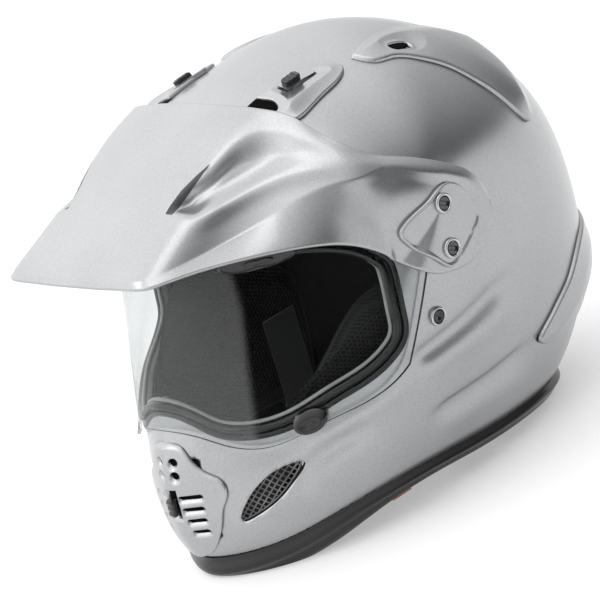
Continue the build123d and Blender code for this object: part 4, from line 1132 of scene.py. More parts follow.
# In the photograph: the panel's two edges, the rib, and the outline of the painted shade in the
# recess at its tip
PANEL_TOP = ((165, 214), (185, 192), (208, 168), (224, 149), (240, 136), (262, 127),
             (280, 127), (300, 134), (322, 143), (345, 153), (368, 167))
PANEL_LOW = ((165, 214), (180, 219), (195, 221), (212, 214), (230, 204), (255, 189),
             (280, 175), (300, 167), (322, 163), (345, 163), (368, 167))
RIB = ((180, 234), (205, 219), (230, 205), (258, 190), (285, 178), (315, 171), (352, 168))
PAINTED_GILL_SHADE = ((165, 214), (170, 206), (181, 191), (196, 176), (212, 162), (201, 177), (189, 194),
        (179, 208), (172, 215))


def up_normals(grid):
    """Directions square to a grid, by the cross product of its two slopes, turned so that
    they point up on the peak's top."""
    out = unit(np.cross(np.gradient(grid, axis=0), np.gradient(grid, axis=1)))
    return -out if out[len(grid) // 2, 20, 2] < 0 else out


def slab(points, normals, wall, turns=5):
    """A sheet given a wall inwards, with its two long edges rounded: each row of the grid
    becomes a closed loop over the top, round the edge, back underneath and round again."""
    inner = points - normals * wall
    half = wall / 2

    def corner(k, out_row):
        """The half round from the top to the underside at one edge."""
        out = unit(points[:, k] - points[:, out_row])
        middle = points[:, k] - normals[:, k] * half
        angles = np.linspace(0, np.pi, turns + 2)[1:-1]
        return np.stack([middle + normals[:, k] * (half * math.cos(a))
                         + out * (half * math.sin(a)) for a in angles], 1)

    far = corner(-1, -2)
    near = corner(0, 1)[:, ::-1]
    return np.concatenate([points, far, inner[:, ::-1], near], axis=1)


def make_peak():
    """The peak and both arms as one sheet: cuts joined by a cubic across, the drawn
    features pushed along its normals, and a wall with rounded edges."""
    cuts, grow = peak_cuts()
    step = np.linalg.norm(np.diff(cuts, axis=0), axis=2).mean(1)
    run = np.concatenate([[0], np.cumsum(step)])
    full = np.concatenate([-run[:0:-1], run])
    mirror = cuts * np.array([-1, 1, 1])
    both = np.concatenate([mirror[:0:-1], cuts])
    at = np.linspace(full[0], full[-1], 520)
    flat = both.reshape(len(both), -1)
    grid = spline(full, flat, at).reshape(len(at), TOP_ROWS + FACE_ROWS, 3)
    arm = np.abs(at) >= run[len(PEAK)]
    for _ in range(70):
        soft = grid[1:-1, :, 2] / 2 + (grid[:-2, :, 2] + grid[2:, :, 2]) / 4
        grid[1:-1, :, 2] = np.where(np.abs(at[1:-1, None]) < run[len(PEAK) - 1], soft,
                                    grid[1:-1, :, 2])
    for _ in range(3):
        for k in range(TOP_ROWS - 3, TOP_ROWS + 2):
            grid[:, k] = (grid[:, k - 1] + 2 * grid[:, k] + grid[:, k + 1]) / 4
    grid[arm, :, 0] = np.sign(grid[arm, :, 0]) * side_of(
        grid[arm, :, 1], grid[arm, :, 2], grow[None, :])
    where = to_photo(grid)
    beyond = np.arange(TOP_ROWS + FACE_ROWS)[None, :] < TOP_ROWS
    spread = np.clip((np.abs(grid[..., 0]) - 14) / 8, 0, 1)
    rise = peak_field(where) * spread * beyond
    grid = grid + up_normals(grid) * rise[..., None]
    loop = slab(grid, up_normals(grid), PEAK_WALL)
    verts, faces = mesh_of(loop, False, True)
    faces += end_faces(loop)
    # The gill's outline gets the dark grey painted shade
    gap = np.full(loop.shape[:2], float(BEYOND))
    gap[:, :TOP_ROWS] = signed(to_photo(loop[:, :TOP_ROWS]), np.array(PAINTED_GILL_SHADE, float))
    plain, plain_faces = clip(verts, faces, gap.ravel())
    dark, dark_faces = clip(verts, faces, -gap.ravel())
    dark_faces = [tuple(k + len(plain) for k in f) for f in dark_faces]
    index = [0] * len(plain_faces) + [1] * len(dark_faces)
    piece("sun_peak", np.vstack([plain, dark]), plain_faces + dark_faces, [SILVER, SHADE],
          replaces=("peak",), slot="silver_shell", index=index, sharp=60, weld=0.005)


# Pods, screws and studs

PLATE = ((0.29, -0.05), (0.24, 0.00), (0.08, 0.055), (-0.07, 0.09), (-0.13, 0.06),
         (-0.20, -0.08), (-0.215, -0.17), (-0.16, -0.23), (0.00, -0.33), (0.08, -0.345),
         (0.14, -0.29), (0.27, -0.12))


# In mm: heights of the plate's edge and rim over the form, how wide the rim is, how far
# the flat lies below it, and how deep the screws sit
PLATE_LOW, PLATE_TOP, RIM_WIDE, RIM_STEP, SCREW_SINK = 9.9, 12.2, 1.9, 0.8, 0.3


def make_plate(which, sign):
    """Cover plate with a rounded, raised rim."""
    outline = on_side(loop_of(PLATE, 140), 9.0, sign)

    def rise(inset, where):
        """A rounded edge and a rim, then the flat from RIM_WIDE in."""
        step = np.clip((inset - RIM_WIDE) / 0.9, 0, 1)
        return PLATE_LOW + dome(inset, PLATE_TOP - PLATE_LOW, 1.3) - RIM_STEP * step

    patch(f"plate_{which}", outline, rise, SILVER, replaces=(f"pod_plate_{which}",),
          slot="silver_shell", low=8.6, rings=30, core=(0, -4, -12))


def disc(name, centre, axis, profile, paint, height=None, **more):
    """A turned piece about an axis. profile is (radius, out) from the middle to the edge,
    and height(radius, turn) adds to it."""
    profile = np.asarray(profile, float)
    turn = np.linspace(0, 2 * np.pi, 96, endpoint=False)
    r, t = np.meshgrid(profile[:, 0], turn, indexing="ij")
    out = np.broadcast_to(profile[:, 1][:, None], r.shape)
    if height is not None:
        out = out + height(r, t)
    first = unit(np.cross(axis, [0, 0, 1.0]))
    second = np.cross(axis, first)
    points = (np.asarray(centre, float) + r[..., None] * (np.cos(t)[..., None] * first
              + np.sin(t)[..., None] * second) + out[..., None] * axis)
    verts, faces = capped(points)
    piece(name, verts, faces, paint, **more)


def make_screws():
    """Coin-slot screws: a bright washer ring, a groove and a dished head with a slot."""
    ring = [(3.9, 0.2), (4.1, 1.0), (4.6, 1.35), (5.2, 1.3), (5.7, 0.9), (5.8, 0.2), (5.6, -1)]
    head = [(r, 0.85 - 0.012 * r * r) for r in np.linspace(0.1, 3.2, 22)]
    head += [(3.45, 0.75), (3.6, 0.4), (3.65, -1.0)]

    def slot(r, t):
        """A coin slot a third of the head wide, with soft sides."""
        across = np.abs(r * np.sin(t - 0.5))
        return -1.1 * np.clip((1.2 - across) / 0.2, 0, 1) * (r < 3.4)

    for which, sign in (("left", 1), ("right", -1)):
        for number, (front, height) in enumerate(SCREWS):
            seat = float(side_of(np.array(front), np.array(height), PLATE_TOP)) - SCREW_SINK
            spot, axis = (sign * seat, front, height), np.array([sign, 0, 0.0])
            names = ("pod_screws",) if which == "left" and number == 0 else ()
            disc(f"screw_ring_{which}_{number}", spot, axis, [(3.85, -1.0)] + ring, METAL,
                 replaces=names, slot="bright_screw", sharp=60)
            disc(f"screw_head_{which}_{number}", spot, axis, head, DULL_METAL, slot,
                 slot="bright_screw", sharp=40)
            # The groove's floor is painted shade
            disc(f"screw_gap_{which}_{number}", spot, axis,
                 [(3.4, -0.9), (3.7, -0.5), (4.0, -0.5), (4.1, -1.4)], PAINTED_SHADE,
                 slot="black_plastic")


def make_stud(which, sign):
    """A bright ring let into the shell, and the black dimpled plug inside it."""
    spot = on_side(np.array([STUD]), 0.0, sign)[0]
    out = outward(spot)
    ring = [(3.9, 0.4), (4.0, 1.7), (4.4, 2.3), (4.9, 2.3), (5.3, 1.8), (5.5, 0.8), (5.6, -1)]
    plug = [(r, 1.9 - 1.0 * math.exp(-(r / 1.8) ** 2)) for r in np.linspace(0.1, 3.2, 16)]
    plug += [(3.6, 1.6), (3.85, 1.0), (3.9, -1)]
    names = (("stud_rings",), ("stud_plugs",)) if sign > 0 else ((), ())
    disc(f"stud_ring_{which}", spot, out, [(3.8, -1)] + ring, METAL, replaces=names[0],
         slot="bright_screw", sharp=60)
    disc(f"stud_plug_{which}", spot, out, plug, GLOSS, replaces=names[1],
         slot="black_plastic", sharp=60)


make_shield()
round_tab()
both_sides(make_brow)
make_peak()
both_sides(make_plate)
make_screws()
both_sides(make_stud)

# Covers cut by outlines


def form_patch(turns, sides, columns, rows):
    """A window of the form: turns are angles in degrees, sides are distances in mm. The
    columns run evenly round the side profile, the rows evenly in the angle t of x=W*sin t."""
    t = np.linspace(*np.arcsin(np.array(sides) / HALF_WIDTH), rows)
    return form_at(np.linspace(*turns, columns), t)


COVERS = {}


def step_up(inset, edge, radius, full, run):
    """An edge with a small round, then a gentle rise from its height to the full one."""
    return dome(inset, edge, radius) + (full - edge) * ease(np.clip(inset / run, 0, 1))


def raised(name, window, field, profile, paint, levels=(0.0, 0.2, 0.5, 0.9, 1.4), sign=1,
           **more):
    """A cover laid on the form wherever field is above zero: field(points) is the distance
    in from its edges. The sheet is cut along each level, so its rounded edge is crisp, and
    then pushed out by profile(inset, points). The right one is the left one mirrored."""
    if sign < 0:
        verts, faces = COVERS[name.replace("right", "left")]
        piece(name, verts * np.array([-1, 1, 1]), [f[::-1] for f in faces], paint,
              closed=False, weld=0.02, **more)
        return
    verts, faces = mesh_of(form_patch(*window))
    inset = field(verts)
    faces = [f for f in faces if max(inset[k] for k in f) > 0]
    all_verts, all_faces, base = [], [], 0
    bounds = list(levels) + [1e6]
    for low, high in zip(bounds[:-1], bounds[1:]):
        v, f = clip(verts, faces, field(verts) - low)
        if high < 1e5 and len(f):
            v, f = clip(v, f, high - field(v))
        if not len(f):
            continue
        all_verts.append(v)
        all_faces += [tuple(k + base for k in face) for face in f]
        base += len(v)
    verts = np.vstack(all_verts)
    inset = np.maximum(field(verts), 0)
    verts = push_out(verts, profile(inset, verts))
    COVERS[name] = (verts, all_faces)
    piece(name, verts, all_faces, paint, closed=False, weld=0.02, **more)


TOP_DUCT = ((0.345, 0.40), (0.345, 0.28), (0.37, 0.11), (0.41, -0.06), (0.46, -0.15),
            (0.52, -0.16), (0.56, -0.10), (0.585, 0.06), (0.605, 0.20), (0.605, 0.31),
            (0.48, 0.40))
# The slider's place, its travel in mm, and half sizes of its slot, the well below the
# slot, and its button
SLIDER = (0.43, 0.12)
SLIDER_TRAVEL, SLOT_HALF, WELL_HALF, BUTTON_HALF = 7.0, (3.8, 10.3), (4.2, 10.8), (3.0, 5.6)
REAR_SIDE = ((-0.24, 0.80), (-0.27, 0.72), (-0.43, 0.67), (-0.58, 0.59), (-0.70, 0.49),
             (-0.79, 0.37), (-0.89, 0.21), (-1.04, 0.02), (-1.14, 0.10), (-1.22, 0.34),
             (-1.10, 0.75), (-0.85, 1.00), (-0.50, 1.02))
REAR_TOP = ((0.50, -0.24), (0.46, -0.38), (0.40, -0.62), (0.35, -0.86), (0.33, -1.10),
            (0.40, -1.40), (1.10, -1.40), (1.10, -0.24))
REAR_HOLE = (0.56, -0.53)
# Half sizes in mm of the hole and of the painted shade below it, a dark patch for the shadowed
# inside of the outlet
LENS_WIDE, LENS_LONG, DARK_HALF = 3.0, 7.5, (4.4, 9.5)
COWL = ((-0.52, -1.11), (-0.63, -1.03), (-0.79, -0.955), (-0.91, -0.905), (-1.02, -0.84),
        (-1.11, -0.79), (-1.22, -0.755), (-1.42, -0.74), (-1.75, -0.74), (-1.75, -0.95),
        (-1.30, -1.10), (-1.00, -1.165), (-0.80, -1.185), (-0.60, -1.165))
VENT = ((0.00, -0.86), (0.10, -0.885), (0.15, -0.97), (0.21, -1.04), (0.275, -1.10),
        (0.285, -1.17), (0.25, -1.25), (0.22, -1.34), (0.175, -1.43), (0.11, -1.51),
        (0.00, -1.545))
INLET = ((242, 99), (250, 96), (262, 97), (273, 100), (276, 106), (268, 111), (250, 109))


def make_top_duct(which, sign):
    """Raised top inlet: a soft hump with a mouth in front, filled with painted shade, and a
    slot for its slider.
    """
    outline = loop_of(TOP_DUCT, 160, HALF_WIDTH)
    mouth = smooth_line(INLET, 40, closed=True)
    side, front = SLIDER[0] * HALF_WIDTH, SLIDER[1] * HEAD

    def slot_gap(p):
        """Distance out of the slider's slot."""
        return np.maximum(np.abs(p[:, 0] - side) - SLOT_HALF[0],
                          np.abs(p[:, 1] - front + SLIDER_TRAVEL / 2) - SLOT_HALF[1])

    def mouth_gap(p):
        """Distance out of the mouth, which is drawn in the photograph's frame."""
        return signed(to_photo(push_out(p, np.full(len(p), 4.0))), mouth) / SCALE

    def field(p):
        """In from the outline, and out of the slot and the mouth."""
        inner = np.minimum(-signed(p[:, :2], outline), slot_gap(p))
        return np.minimum(inner, mouth_gap(p))

    def profile(inset, p):
        """A hump that is highest behind the mouth and sinks to the rear."""
        back = np.clip((p[:, 1] + 16) / 40, 0, 1)
        return 0.2 + step_up(inset, 2.2, 1.2, 3.6 + 2.4 * back, 11.0)

    raised(f"top_vent_{which}", ((40, 112), (30, 84), 170, 150), field, profile,
           SILVER, sign=sign, replaces=(f"top_duct_{which}",), slot="silver_shell",
           sharp=60)
    # Painted shade under the mouth, for the shadowed inside of the inlet
    raised(f"vent_mouth_{which}", ((40, 75), (40, 84), 60, 60),
           lambda p: 1.6 - mouth_gap(p), level(0.5), PAINTED_SHADE,
           levels=(0.0,), sign=sign, slot="black_plastic")
    corners = ((1, 1), (1, 0), (1, -1), (0, -1), (-1, -1), (-1, 0), (-1, 1), (0, 1))
    well = smooth_line([(side + WELL_HALF[0] * a, front - SLIDER_TRAVEL / 2 + WELL_HALF[1] * b)
                        for a, b in corners], 48, True)
    patch(f"vent_well_{which}", on_top(well, ABOVE, sign), level(3.0), SILVER, rings=6,
          slot="silver_shell", low=0.4)
    ring = on_top(np.array([side, front]) + ellipse(*BUTTON_HALF, 64, 0.45), ABOVE, sign)

    def knob(inset, q):
        """A ribbed button."""
        rib = 0.35 * np.cos((q[..., 1] - front) * 2 * np.pi / 3.1)
        return 5.2 + dome(inset, 1.2, 1.0) + rib * np.clip(inset / 1.5, 0, 1)

    patch(f"vent_button_{which}", ring, knob, GLOSS, body=f"slider_{which}",
          replaces=(f"top_slider_{which}",), slot="black_plastic", low=3.2, rings=22)


def make_rear_duct(which, sign):
    """Long rear outlet with a lens-shaped hole and a dimple behind it."""
    outline = loop_of(REAR_SIDE, 200)
    cut = np.array(REAR_TOP) * np.array([HALF_WIDTH, HEAD])
    side, front = REAR_HOLE[0] * HALF_WIDTH, REAR_HOLE[1] * HEAD

    def hole_gap(p):
        """Distance out of the hole: a slot with round ends, narrowed to a lens."""
        along = np.abs(p[:, 1] - front)
        round_part = np.hypot(np.maximum(along - LENS_LONG + LENS_WIDE, 0), p[:, 0] - side)
        return round_part - LENS_WIDE * (1 - 0.35 * np.clip(along / LENS_LONG, 0, 1) ** 2)

    def field(p):
        """In from both outlines and out of the hole."""
        inner = -signed(p[:, 1:], outline)
        top = -signed(p[:, :2], cut)
        return np.minimum(np.minimum(inner, top), hole_gap(p))

    def profile(inset, p):
        """A rounded edge and a hollow round the hole."""
        hollow = np.exp(-(np.hypot((p[:, 0] - side) / 8.0, (p[:, 1] - front + 4) / 14.0)) ** 2)
        rise = step_up(inset, 2.4, 1.2, 5.8, 15.0)
        return 0.2 + rise - 1.4 * hollow * np.clip(inset / 3.0, 0, 1)

    raised(f"rear_vent_{which}", ((76, 182), (33, 118), 260, 190), field, profile, SILVER,
           sign=sign, replaces=(f"rear_duct_{which}",), slot="silver_shell", sharp=60)
    # Painted shade under the hole, for the shadowed inside of the outlet
    ring = on_top(np.array([side, front]) + ellipse(*DARK_HALF, 48), ABOVE, sign)
    patch(f"rear_well_{which}", ring, level(1.4), PAINTED_SHADE, rings=6,
          slot="black_plastic", low=0.4)


def make_cowl(which, sign):
    """Pointed cover low on the back."""
    outline = loop_of(COWL, 200)

    def field(p):
        """In from the side outline and from the inner end."""
        return np.minimum(-signed(p[:, 1:], outline), p[:, 0] - 0.30 * HALF_WIDTH)

    def profile(inset, p):
        """A crisp edge, then a gentle rise."""
        return 0.2 + step_up(inset, 2.4, 1.1, 5.2, 14.0)

    raised(f"rear_cowl_{which}", ((-162, -108), (34, 118.5), 170, 260), field, profile,
           SILVER, sign=sign, replaces=(f"side_cowl_{which}",), slot="silver_shell", sharp=60)


# In mm from the middle and in height: the cover's round holes, its slots, which get
# shorter downwards, the knob's slot and the knob
HOLE_LEVELS, HOLE_SIDE, HOLE_RADIUS = (-96.0, -103.5), 5.2, 2.6
SLOTS, SLOT_START, SLOT_LONG, SLOT_STEP = 4, 5.4, 14.0, 0.7
SLOT_TOP, SLOT_PITCH, SLOT_TALL = -116.5, 7.0, 3.0
KNOB_SLOT, KNOB_AT = (-127.8, -111.2), -122


def make_vent_cover():
    """Chin vent cover, bevelled, with round holes, slots and the knob's slot."""
    outline = half_outline(VENT, 240)

    def field(p):
        """In from the outline and out of every opening."""
        side, height = np.abs(p[:, 0]), p[:, 2]
        gap = -signed(np.stack([p[:, 0], height], -1), outline)
        for level in HOLE_LEVELS:
            gap = np.minimum(gap, np.hypot(side - HOLE_SIDE, height - level) - HOLE_RADIUS)
        for number in range(SLOTS):
            start = SLOT_START + SLOT_STEP * number
            end = SLOT_START + SLOT_LONG - SLOT_STEP * number
            along = np.maximum(np.maximum(start + 1.2 - side, side - end + 1.2), 0)
            middle = SLOT_TOP - SLOT_PITCH * number
            gap = np.minimum(gap, np.hypot(along, height - middle) - SLOT_TALL / 2)
        low, high = KNOB_SLOT
        return np.minimum(gap, np.maximum(side - 3.3, np.maximum(low - height, height - high)))

    def profile(inset, p):
        """A rounded edge and a soft ridge down the middle."""
        ridge = 0.7 * np.exp(-(p[:, 0] / 9.0) ** 2)
        return 0.2 + dome(inset, 2.6, 1.6) + ridge * np.clip(inset, 0, 1)

    raised("chin_vent", ((-52, -30), (-35, 35), 200, 190), field, profile, SILVER,
           levels=(0.0, 0.25, 0.7, 1.4), replaces=("chin_vent_cover",), slot="silver_shell",
           sharp=55)
    # Painted shade behind the cover's holes and slots, for the shadowed inlet
    half = np.array(VENT) * np.array([0.9 * HALF_WIDTH, HEAD])
    flat = smooth_line(np.vstack([half, (half * [-1, 1])[-2:0:-1]]), 120, closed=True)
    flat[:, 1] = -INLET_AT + (flat[:, 1] + INLET_AT) * 0.92
    ring = on_front(flat, ABOVE)
    patch("chin_vent_dark", ring, level(0.7), PAINTED_SHADE, rings=10,
          slot="black_plastic", low=0.25, core=(0, 60, -115))
    knob = on_front(np.array([0, KNOB_AT]) + ellipse(3.0, 5.5, 72, 0.4), ABOVE)

    def grip(inset, q):
        """A knob with three cross ribs."""
        rib = 0.4 * np.cos((q[..., 2] - KNOB_AT) * 2 * np.pi / 3.4)
        return 5.4 + dome(inset, 1.6, 1.3) + rib * np.clip(inset / 1.2, 0, 1)

    patch("chin_knob", knob, grip, GLOSS, body="chin_shutter", replaces=("chin_vent_toggle",),
          slot="black_plastic", low=0.8, rings=22, core=(0, 60, KNOB_AT))


def make_mesh(which, sign):
    """Diamond mesh in the chin bar's side opening, and a painted shade behind it: a dark sheet
    for the shadowed space there.
    """
    outline = loop_of(GRILLE, 90, HALF_WIDTH)
    pitch, bar = 3.9, 0.36

    def field(p):
        """In from the outline, on either family of slanting bars."""
        inner = -signed(p[:, [0, 2]], outline)
        bars = []
        for lean in (1, -1):
            run = (p[:, 0] * 1.15 + lean * p[:, 2]) / math.hypot(1.15, 1)
            bars.append(bar - np.abs(np.mod(run, pitch * 0.72) - pitch * 0.36))
        rim = 0.7 - inner
        return np.minimum(inner, np.maximum(np.maximum(bars[0], bars[1]), rim))

    def profile(inset, p):
        """Bars rounded across, a little below the shell's face."""
        return -1.9 + dome(inset, 0.4, 0.3)

    raised(f"chin_mesh_{which}", ((-64, -38), (34, 72.5), 250, 240), field, profile, BARS,
           levels=(0.0, 0.3), sign=sign, replaces=(f"side_grille_{which}",),
           slot="black_plastic", sharp=60)
    # Painted shade: a dark sheet behind the mesh
    raised(f"mesh_dark_{which}", ((-64, -38), (34, 72.5), 40, 50),
           lambda p: -signed(p[:, [0, 2]], outline) + 0.4, level(-3.7),
           PAINTED_SHADE, levels=(0.0,), sign=sign, slot="black_plastic")


# Linings

CAVITY = np.array([82.0, 102.0, 78.0])
CAVITY_AT = np.array([0.0, -8.0, -25.0])
# How far the lining's seams lie outside the cavity, and how far its cushions swell in
LINING_OUT, LINING_PUFF = 4.2, 3.6
PAD = ((-0.26, -0.56), (-0.05, -0.47), (0.14, -0.40), (0.32, -0.42), (0.52, -0.52),
       (0.74, -0.66), (0.92, -0.80), (0.98, -1.00), (0.90, -1.20), (0.62, -1.32),
       (0.20, -1.345), (-0.18, -1.33), (-0.30, -1.00))
PAD_CENTRE = (0.30, -0.90)
# Each layer's side, outermost first, and the size of its outline
PAD_LAYERS = ((0.93, 0.94), (0.80, 1.00), (0.64, 0.95), (0.53, 0.83), (0.46, 0.60))
# How far in the pads' faces lie from the form: as pressed against the foam, and at least
PAD_IN, PAD_PULL, PAD_LEAST = -13.2, -13.0, -12.6


def make_comfort_liner():
    """Lining of the crown: an egg of quilted cloth, open at the face and the neck. The
    quilting is a row of soft cushions, the product of two sines along it."""
    turn = np.linspace(0, 2 * np.pi, 220, endpoint=False)
    rise = np.linspace(math.radians(87), math.radians(-3.5), 90)
    u, v = np.meshgrid(turn, rise, indexing="ij")
    ball = np.stack([np.sin(u) * np.cos(v), np.cos(u) * np.cos(v), np.sin(v)], -1)
    puff = np.abs(np.sin(4 * u)) ** 0.5 * np.abs(np.sin(2.6 * (v + 0.35))) ** 0.5
    size = CAVITY + LINING_OUT - LINING_PUFF * puff[..., None]
    verts, faces = mesh_of(CAVITY_AT + ball * size, True)
    gap = np.maximum(signed(verts[:, [0, 2]], PORT_LINE) + 5.0, 20 - verts[:, 1])
    verts, faces = clip(verts, faces, gap)
    made = piece("crown_cloth", verts, faces, CLOTH, replaces=("comfort_liner",),
                 slot="lining_fabric", weld=0.01, sharp=60)
    solidify(made, 3.0, -1.0 if made.data.polygons[0].normal.z > 0 else 1.0)


def pad_skin(count):
    """The cheek pad's layers as rings from the outer side to the inner, each outline
    shrunk about the pad's centre, with the middle of the sides swelling."""
    outline = loop_of(PAD, count)
    centre = np.array(PAD_CENTRE) * HEAD
    sides = np.array([s for s, _ in PAD_LAYERS]) * HALF_WIDTH
    sizes = np.array([k for _, k in PAD_LAYERS])
    t = np.linspace(0, 1, len(sides))
    fine = np.linspace(0, 1, 34)
    side = spline(t, sides, fine)[:, 0]
    size = spline(t, sizes, fine)[:, 0]
    rings = []
    for s, k in zip(side, size):
        flat = centre + (outline - centre) * k
        rings.append(np.concatenate([np.full((count, 1), s), flat], -1))
    for k in np.linspace(0.56, 0.06, 12):
        flat = centre + (outline - centre) * k
        bulge = sides[-1] - 1.6 * (1 - (k / 0.6) ** 2)
        rings.append(np.concatenate([np.full((count, 1), bulge), flat], -1))
    return np.array(rings)


def make_cheek(which, sign):
    """Padded cheek pad: crowned, with a sewn channel round its face."""
    rings = pad_skin(150)
    shell_out = side_of(rings[..., 1], rings[..., 2], PAD_IN)
    front_gap = inside(rings[..., 0], rings[..., 1], rings[..., 2], PAD_IN)
    rings[..., 0] = np.where(front_gap < 0, np.minimum(rings[..., 0], shell_out), rings[..., 0])
    wave = np.abs(np.linspace(0, 1, len(rings)) - 0.62)
    seam = 1.1 * np.exp(-(wave / 0.018) ** 2)
    centre = np.array([60.0, 30.0, -90.0])
    away = unit(rings - centre)
    rings = rings - away * seam[:, None, None]
    bad = inside(rings[..., 0], rings[..., 1], rings[..., 2], PAD_LEAST) < 0
    pulled = project(rings, PAD_PULL, core=(40.0, 10.0, -60.0))
    verts, faces = capped(np.where(bad[..., None], pulled, rings))
    made = piece(f"cheek_cushion_{which}", verts * np.array([sign, 1, 1]), faces, MESH,
                 replaces=(f"cheek_pad_{which}",), slot="lining_fabric", sharp=80)


# The roll's line: half width and length behind its centre, the centre's front and height,
# the mean radius that its thickness is scaled by, its flat underside, the web's height
ROLL_SIZE, ROLL_AT = (64.0, 79.0), (-12.4, -147.0)
ROLL_MEAN, ROLL_LOW, WEB_AT = 71.5, -156.5, -141.5


def make_roll():
    """Padded roll round the back of the neck, with pinched seams across it, and the cloth
    web that joins it to the shell."""
    turn = np.linspace(0, np.pi, 200)
    ring = np.linspace(0, 2 * np.pi, 40, endpoint=False)
    u, v = np.meshgrid(turn, ring, indexing="ij")
    pinch = np.exp(-(np.mod(u / np.pi * 6 + 0.5, 1) - 0.5) ** 2 / 0.0012)
    end = np.clip(np.minimum(u, np.pi - u) / 0.09, 0, 1)
    radius = (10.8 - 1.3 * pinch) * np.sqrt(1 - (1 - end) ** 2 + 0.02)
    wide, long = (size / ROLL_MEAN * (ROLL_MEAN + radius * np.cos(v)) for size in ROLL_SIZE)
    points = np.stack([wide * np.cos(u), ROLL_AT[0] - long * np.sin(u),
                       ROLL_AT[1] + radius * np.sin(v)], -1)
    verts, faces = mesh_of(points, False, True)
    faces += [tuple(range(len(ring))), end_faces(points)[1]]
    verts[:, 2] = np.maximum(verts[:, 2], ROLL_LOW)
    made = piece("neck_cushion", verts, faces, ROLL_CLOTH, replaces=("neck_roll",),
                 slot="lining_fabric", sharp=80)
    wide, long = (size - 2 for size in ROLL_SIZE)
    inner = np.stack([wide * np.cos(turn), ROLL_AT[0] - long * np.sin(turn),
                      np.full(len(turn), WEB_AT)], -1)
    lead = project(inner, -4.6, core=(0.0, -12.0, WEB_AT))
    rows = np.linspace(0, 1, 12)[:, None, None]
    sheet = inner[None] * (1 - rows) + lead[None] * rows
    sheet[..., 2] = WEB_AT + 0.8 * np.sin(rows[..., 0] * np.pi)
    web = piece("neck_web", *mesh_of(sheet), CLOTH, slot="lining_fabric", closed=False)
    solidify(web, 1.6, 0.0)


both_sides(make_top_duct)
both_sides(make_rear_duct)
both_sides(make_cowl)
make_vent_cover()
both_sides(make_mesh)
make_comfort_liner()
both_sides(make_cheek)
make_roll()

# Straps and pull tabs

STRAP = ((0.72, -1.36), (0.67, -1.42), (0.60, -1.465), (0.51, -1.48), (0.43, -1.44),
         (0.385, -1.36), (0.36, -1.24), (0.345, -1.12), (0.335, -0.98))
LONG_STRAP = STRAP + ((0.325, -0.84), (0.315, -0.70))
STRAP_WIDE, STRAP_THICK, LOOP_THICK, STRAP_FRONT = 24.0, 1.8, 1.0, 14.0
RING_SIDES = (35.365, 32.765)


def tape_section(wide, thick):
    """A tape's section: flat faces and full rounds at both edges, as a superellipse."""
    return ellipse(wide / 2, thick / 2, 48, 0.25, 0.6)


def strap_path(flat, sign=1):
    """A strap's middle line from its (side, height) points, and the across directions."""
    path = np.stack([sign * flat[:, 0], np.full(len(flat), STRAP_FRONT), flat[:, 1]], -1)
    return path, np.broadcast_to(np.array([0, 1.0, 0]), path.shape)


def make_straps():
    """Two woven straps swept along their lines; the short one ends in a loop round the two
    rings' straight bars, a racetrack path swept with the same tape."""
    section = tape_section(STRAP_WIDE, STRAP_THICK)
    for which, shares, sign in (("left", STRAP, 1), ("right", LONG_STRAP, -1)):
        flat = smooth_line(np.array(shares) * np.array([HALF_WIDTH, HEAD]), 150)
        path, across = strap_path(flat, sign)
        along = tangents(path, False)
        sweep(f"web_{which}", path, across, np.cross(along, across), section, WEB, False,
              replaces=(f"strap_{which}",), slot="strap_webbing", sharp=60)
    top, room = STRAP[-1][1] * HEAD, 2.1
    turn = np.linspace(0, np.pi, 20)
    half = room * np.stack([np.sin(turn), np.cos(turn)], -1)
    outer, inner = np.array([RING_SIDES[0], top]) + half, np.array([RING_SIDES[1], top]) - half
    path, across = strap_path(smooth_line(np.vstack([outer, inner]), 80, True))
    sweep("web_loop", path, across, np.cross(tangents(path), across),
          tape_section(STRAP_WIDE, LOOP_THICK), WEB, True, slot="strap_webbing", sharp=60)


TAB_WIDE, TAB_LONG, TAB_AT = 14.0, 27.3, (50.0, -131.2)


def make_pull_tab(which, sign):
    """Pull tab: a strip of orange tape that hangs from the cheek pad, a sheet bent a
    little to and fro, with a wall of its own."""
    wide, long = TAB_WIDE, TAB_LONG
    across = np.linspace(-wide / 2, wide / 2, 24)
    down = np.linspace(0, long, 36)
    u, v = np.meshgrid(across, down, indexing="ij")
    side = 0.615 * HALF_WIDTH + 0.6 + 0.35 * np.sin(v / long * np.pi) * np.cos(u / wide * np.pi)
    points = np.stack([sign * side, TAB_AT[0] + u, TAB_AT[1] - v], -1)
    made = piece(f"pull_tape_{which}", *mesh_of(points), ORANGE, closed=False,
                 replaces=(f"release_tab_{which}",), slot="pull_tab")
    solidify(made, 1.0, 0.0)


def paint_kept_nodes():
    """Materials for the CAD nodes that are shown as they are."""
    tones = {"crown_liner": FOAM, "chin_liner": FOAM, "strap_anchors": METAL,
             "d_ring_outer": METAL, "d_ring_inner": METAL, "pivot_base_left": PLASTIC,
             "pivot_base_right": PLASTIC}
    for name, paint in tones.items():
        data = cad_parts[name].data
        data.materials.clear()
        data.materials.append(paint)


make_straps()
both_sides(make_pull_tab)
paint_kept_nodes()

# Floor and light


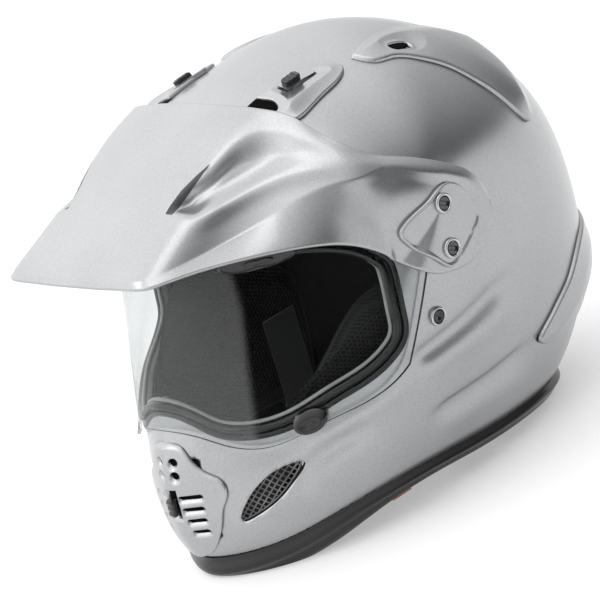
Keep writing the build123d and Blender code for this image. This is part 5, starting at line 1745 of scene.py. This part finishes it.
def make_floor():
    """A pale floor, which reads a little lighter to the camera, to metal and through
    glass than the lamps alone would make it."""
    floor = bpy.data.meshes.new("floor")
    floor.from_pydata([(-9, -9, 0), (9, -9, 0), (9, 9, 0), (-9, 9, 0)], [], [(0, 1, 2, 3)])
    ground = bpy.data.objects.new("floor", floor)
    bpy.context.collection.objects.link(ground)
    p = Paint("floor_paint", "cfcfd0", 0.9)
    grain = p.add("TexNoise", {"Vector": p.coords, "Scale": 1000 / 200})
    p.link(p.add("ValToRGB", {"Fac": grain}, ((0.3, "cecece"), (0.7, "d1d1d1"))),
           "Base Color")
    ray = p.add("LightPath").outputs
    seen = ray["Is Camera Ray"]
    for other in ("Is Transmission Ray", "Is Glossy Ray"):
        seen = p.add("Math", {0: seen, 1: ray[other]}, operation="MAXIMUM")
    p.shader.inputs["Emission Color"].default_value = colour("ffffff")
    p.link(p.add("Math", {0: seen, 1: 0.36}, operation="MULTIPLY"), "Emission Strength")
    floor.materials.append(p.mat)


def make_lamps():
    """Two wide soft lamps: a key over the wearer's right front, and one overhead."""
    lights = (
        ("key", (-1.0, -1.6, 1.7), (1.3, 0.9), 5),
        ("top", (0.2, -0.2, 2.1), (1.6, 1.0), 4),
    )
    for name, where, size, power in lights:
        data = bpy.data.lights.new(name, "AREA")
        data.shape = "RECTANGLE"
        data.size, data.size_y = size
        data.energy = power
        lamp = bpy.data.objects.new(name, data)
        lamp.location = where
        aim = Vector((0, 0, 0.14)) - Vector(where)
        lamp.rotation_euler = aim.to_track_quat("-Z", "Y").to_euler()
        bpy.context.collection.objects.link(lamp)


SKY_SLOPE = (-0.44, -0.30, 0.60)


def make_world():
    """White surroundings, brighter above and towards the wearer's right front, dark low
    down and behind on the left: a line through the direction's dot product with a slope."""
    world = bpy.data.worlds.new("studio")
    world.use_nodes = True
    tree = world.node_tree
    back = tree.nodes["Background"]
    way = tree.nodes.new("ShaderNodeTexCoord").outputs["Generated"]
    dot = tree.nodes.new("ShaderNodeVectorMath")
    dot.operation = "DOT_PRODUCT"
    dot.inputs[1].default_value = SKY_SLOPE
    tree.links.new(way, dot.inputs[0])
    level = tree.nodes.new("ShaderNodeMapRange")
    for key, value in (("From Min", -0.45), ("From Max", 0.65), ("To Min", 0.03),
                       ("To Max", 1.75)):
        level.inputs[key].default_value = value
    tree.links.new(dot.outputs["Value"], level.inputs["Value"])
    back.inputs["Color"].default_value = colour("ffffff")
    tree.links.new(level.outputs[0], back.inputs["Strength"])
    bpy.context.scene.world = world
    bpy.context.scene.view_settings.view_transform = "Standard"


make_floor()
make_lamps()
make_world()
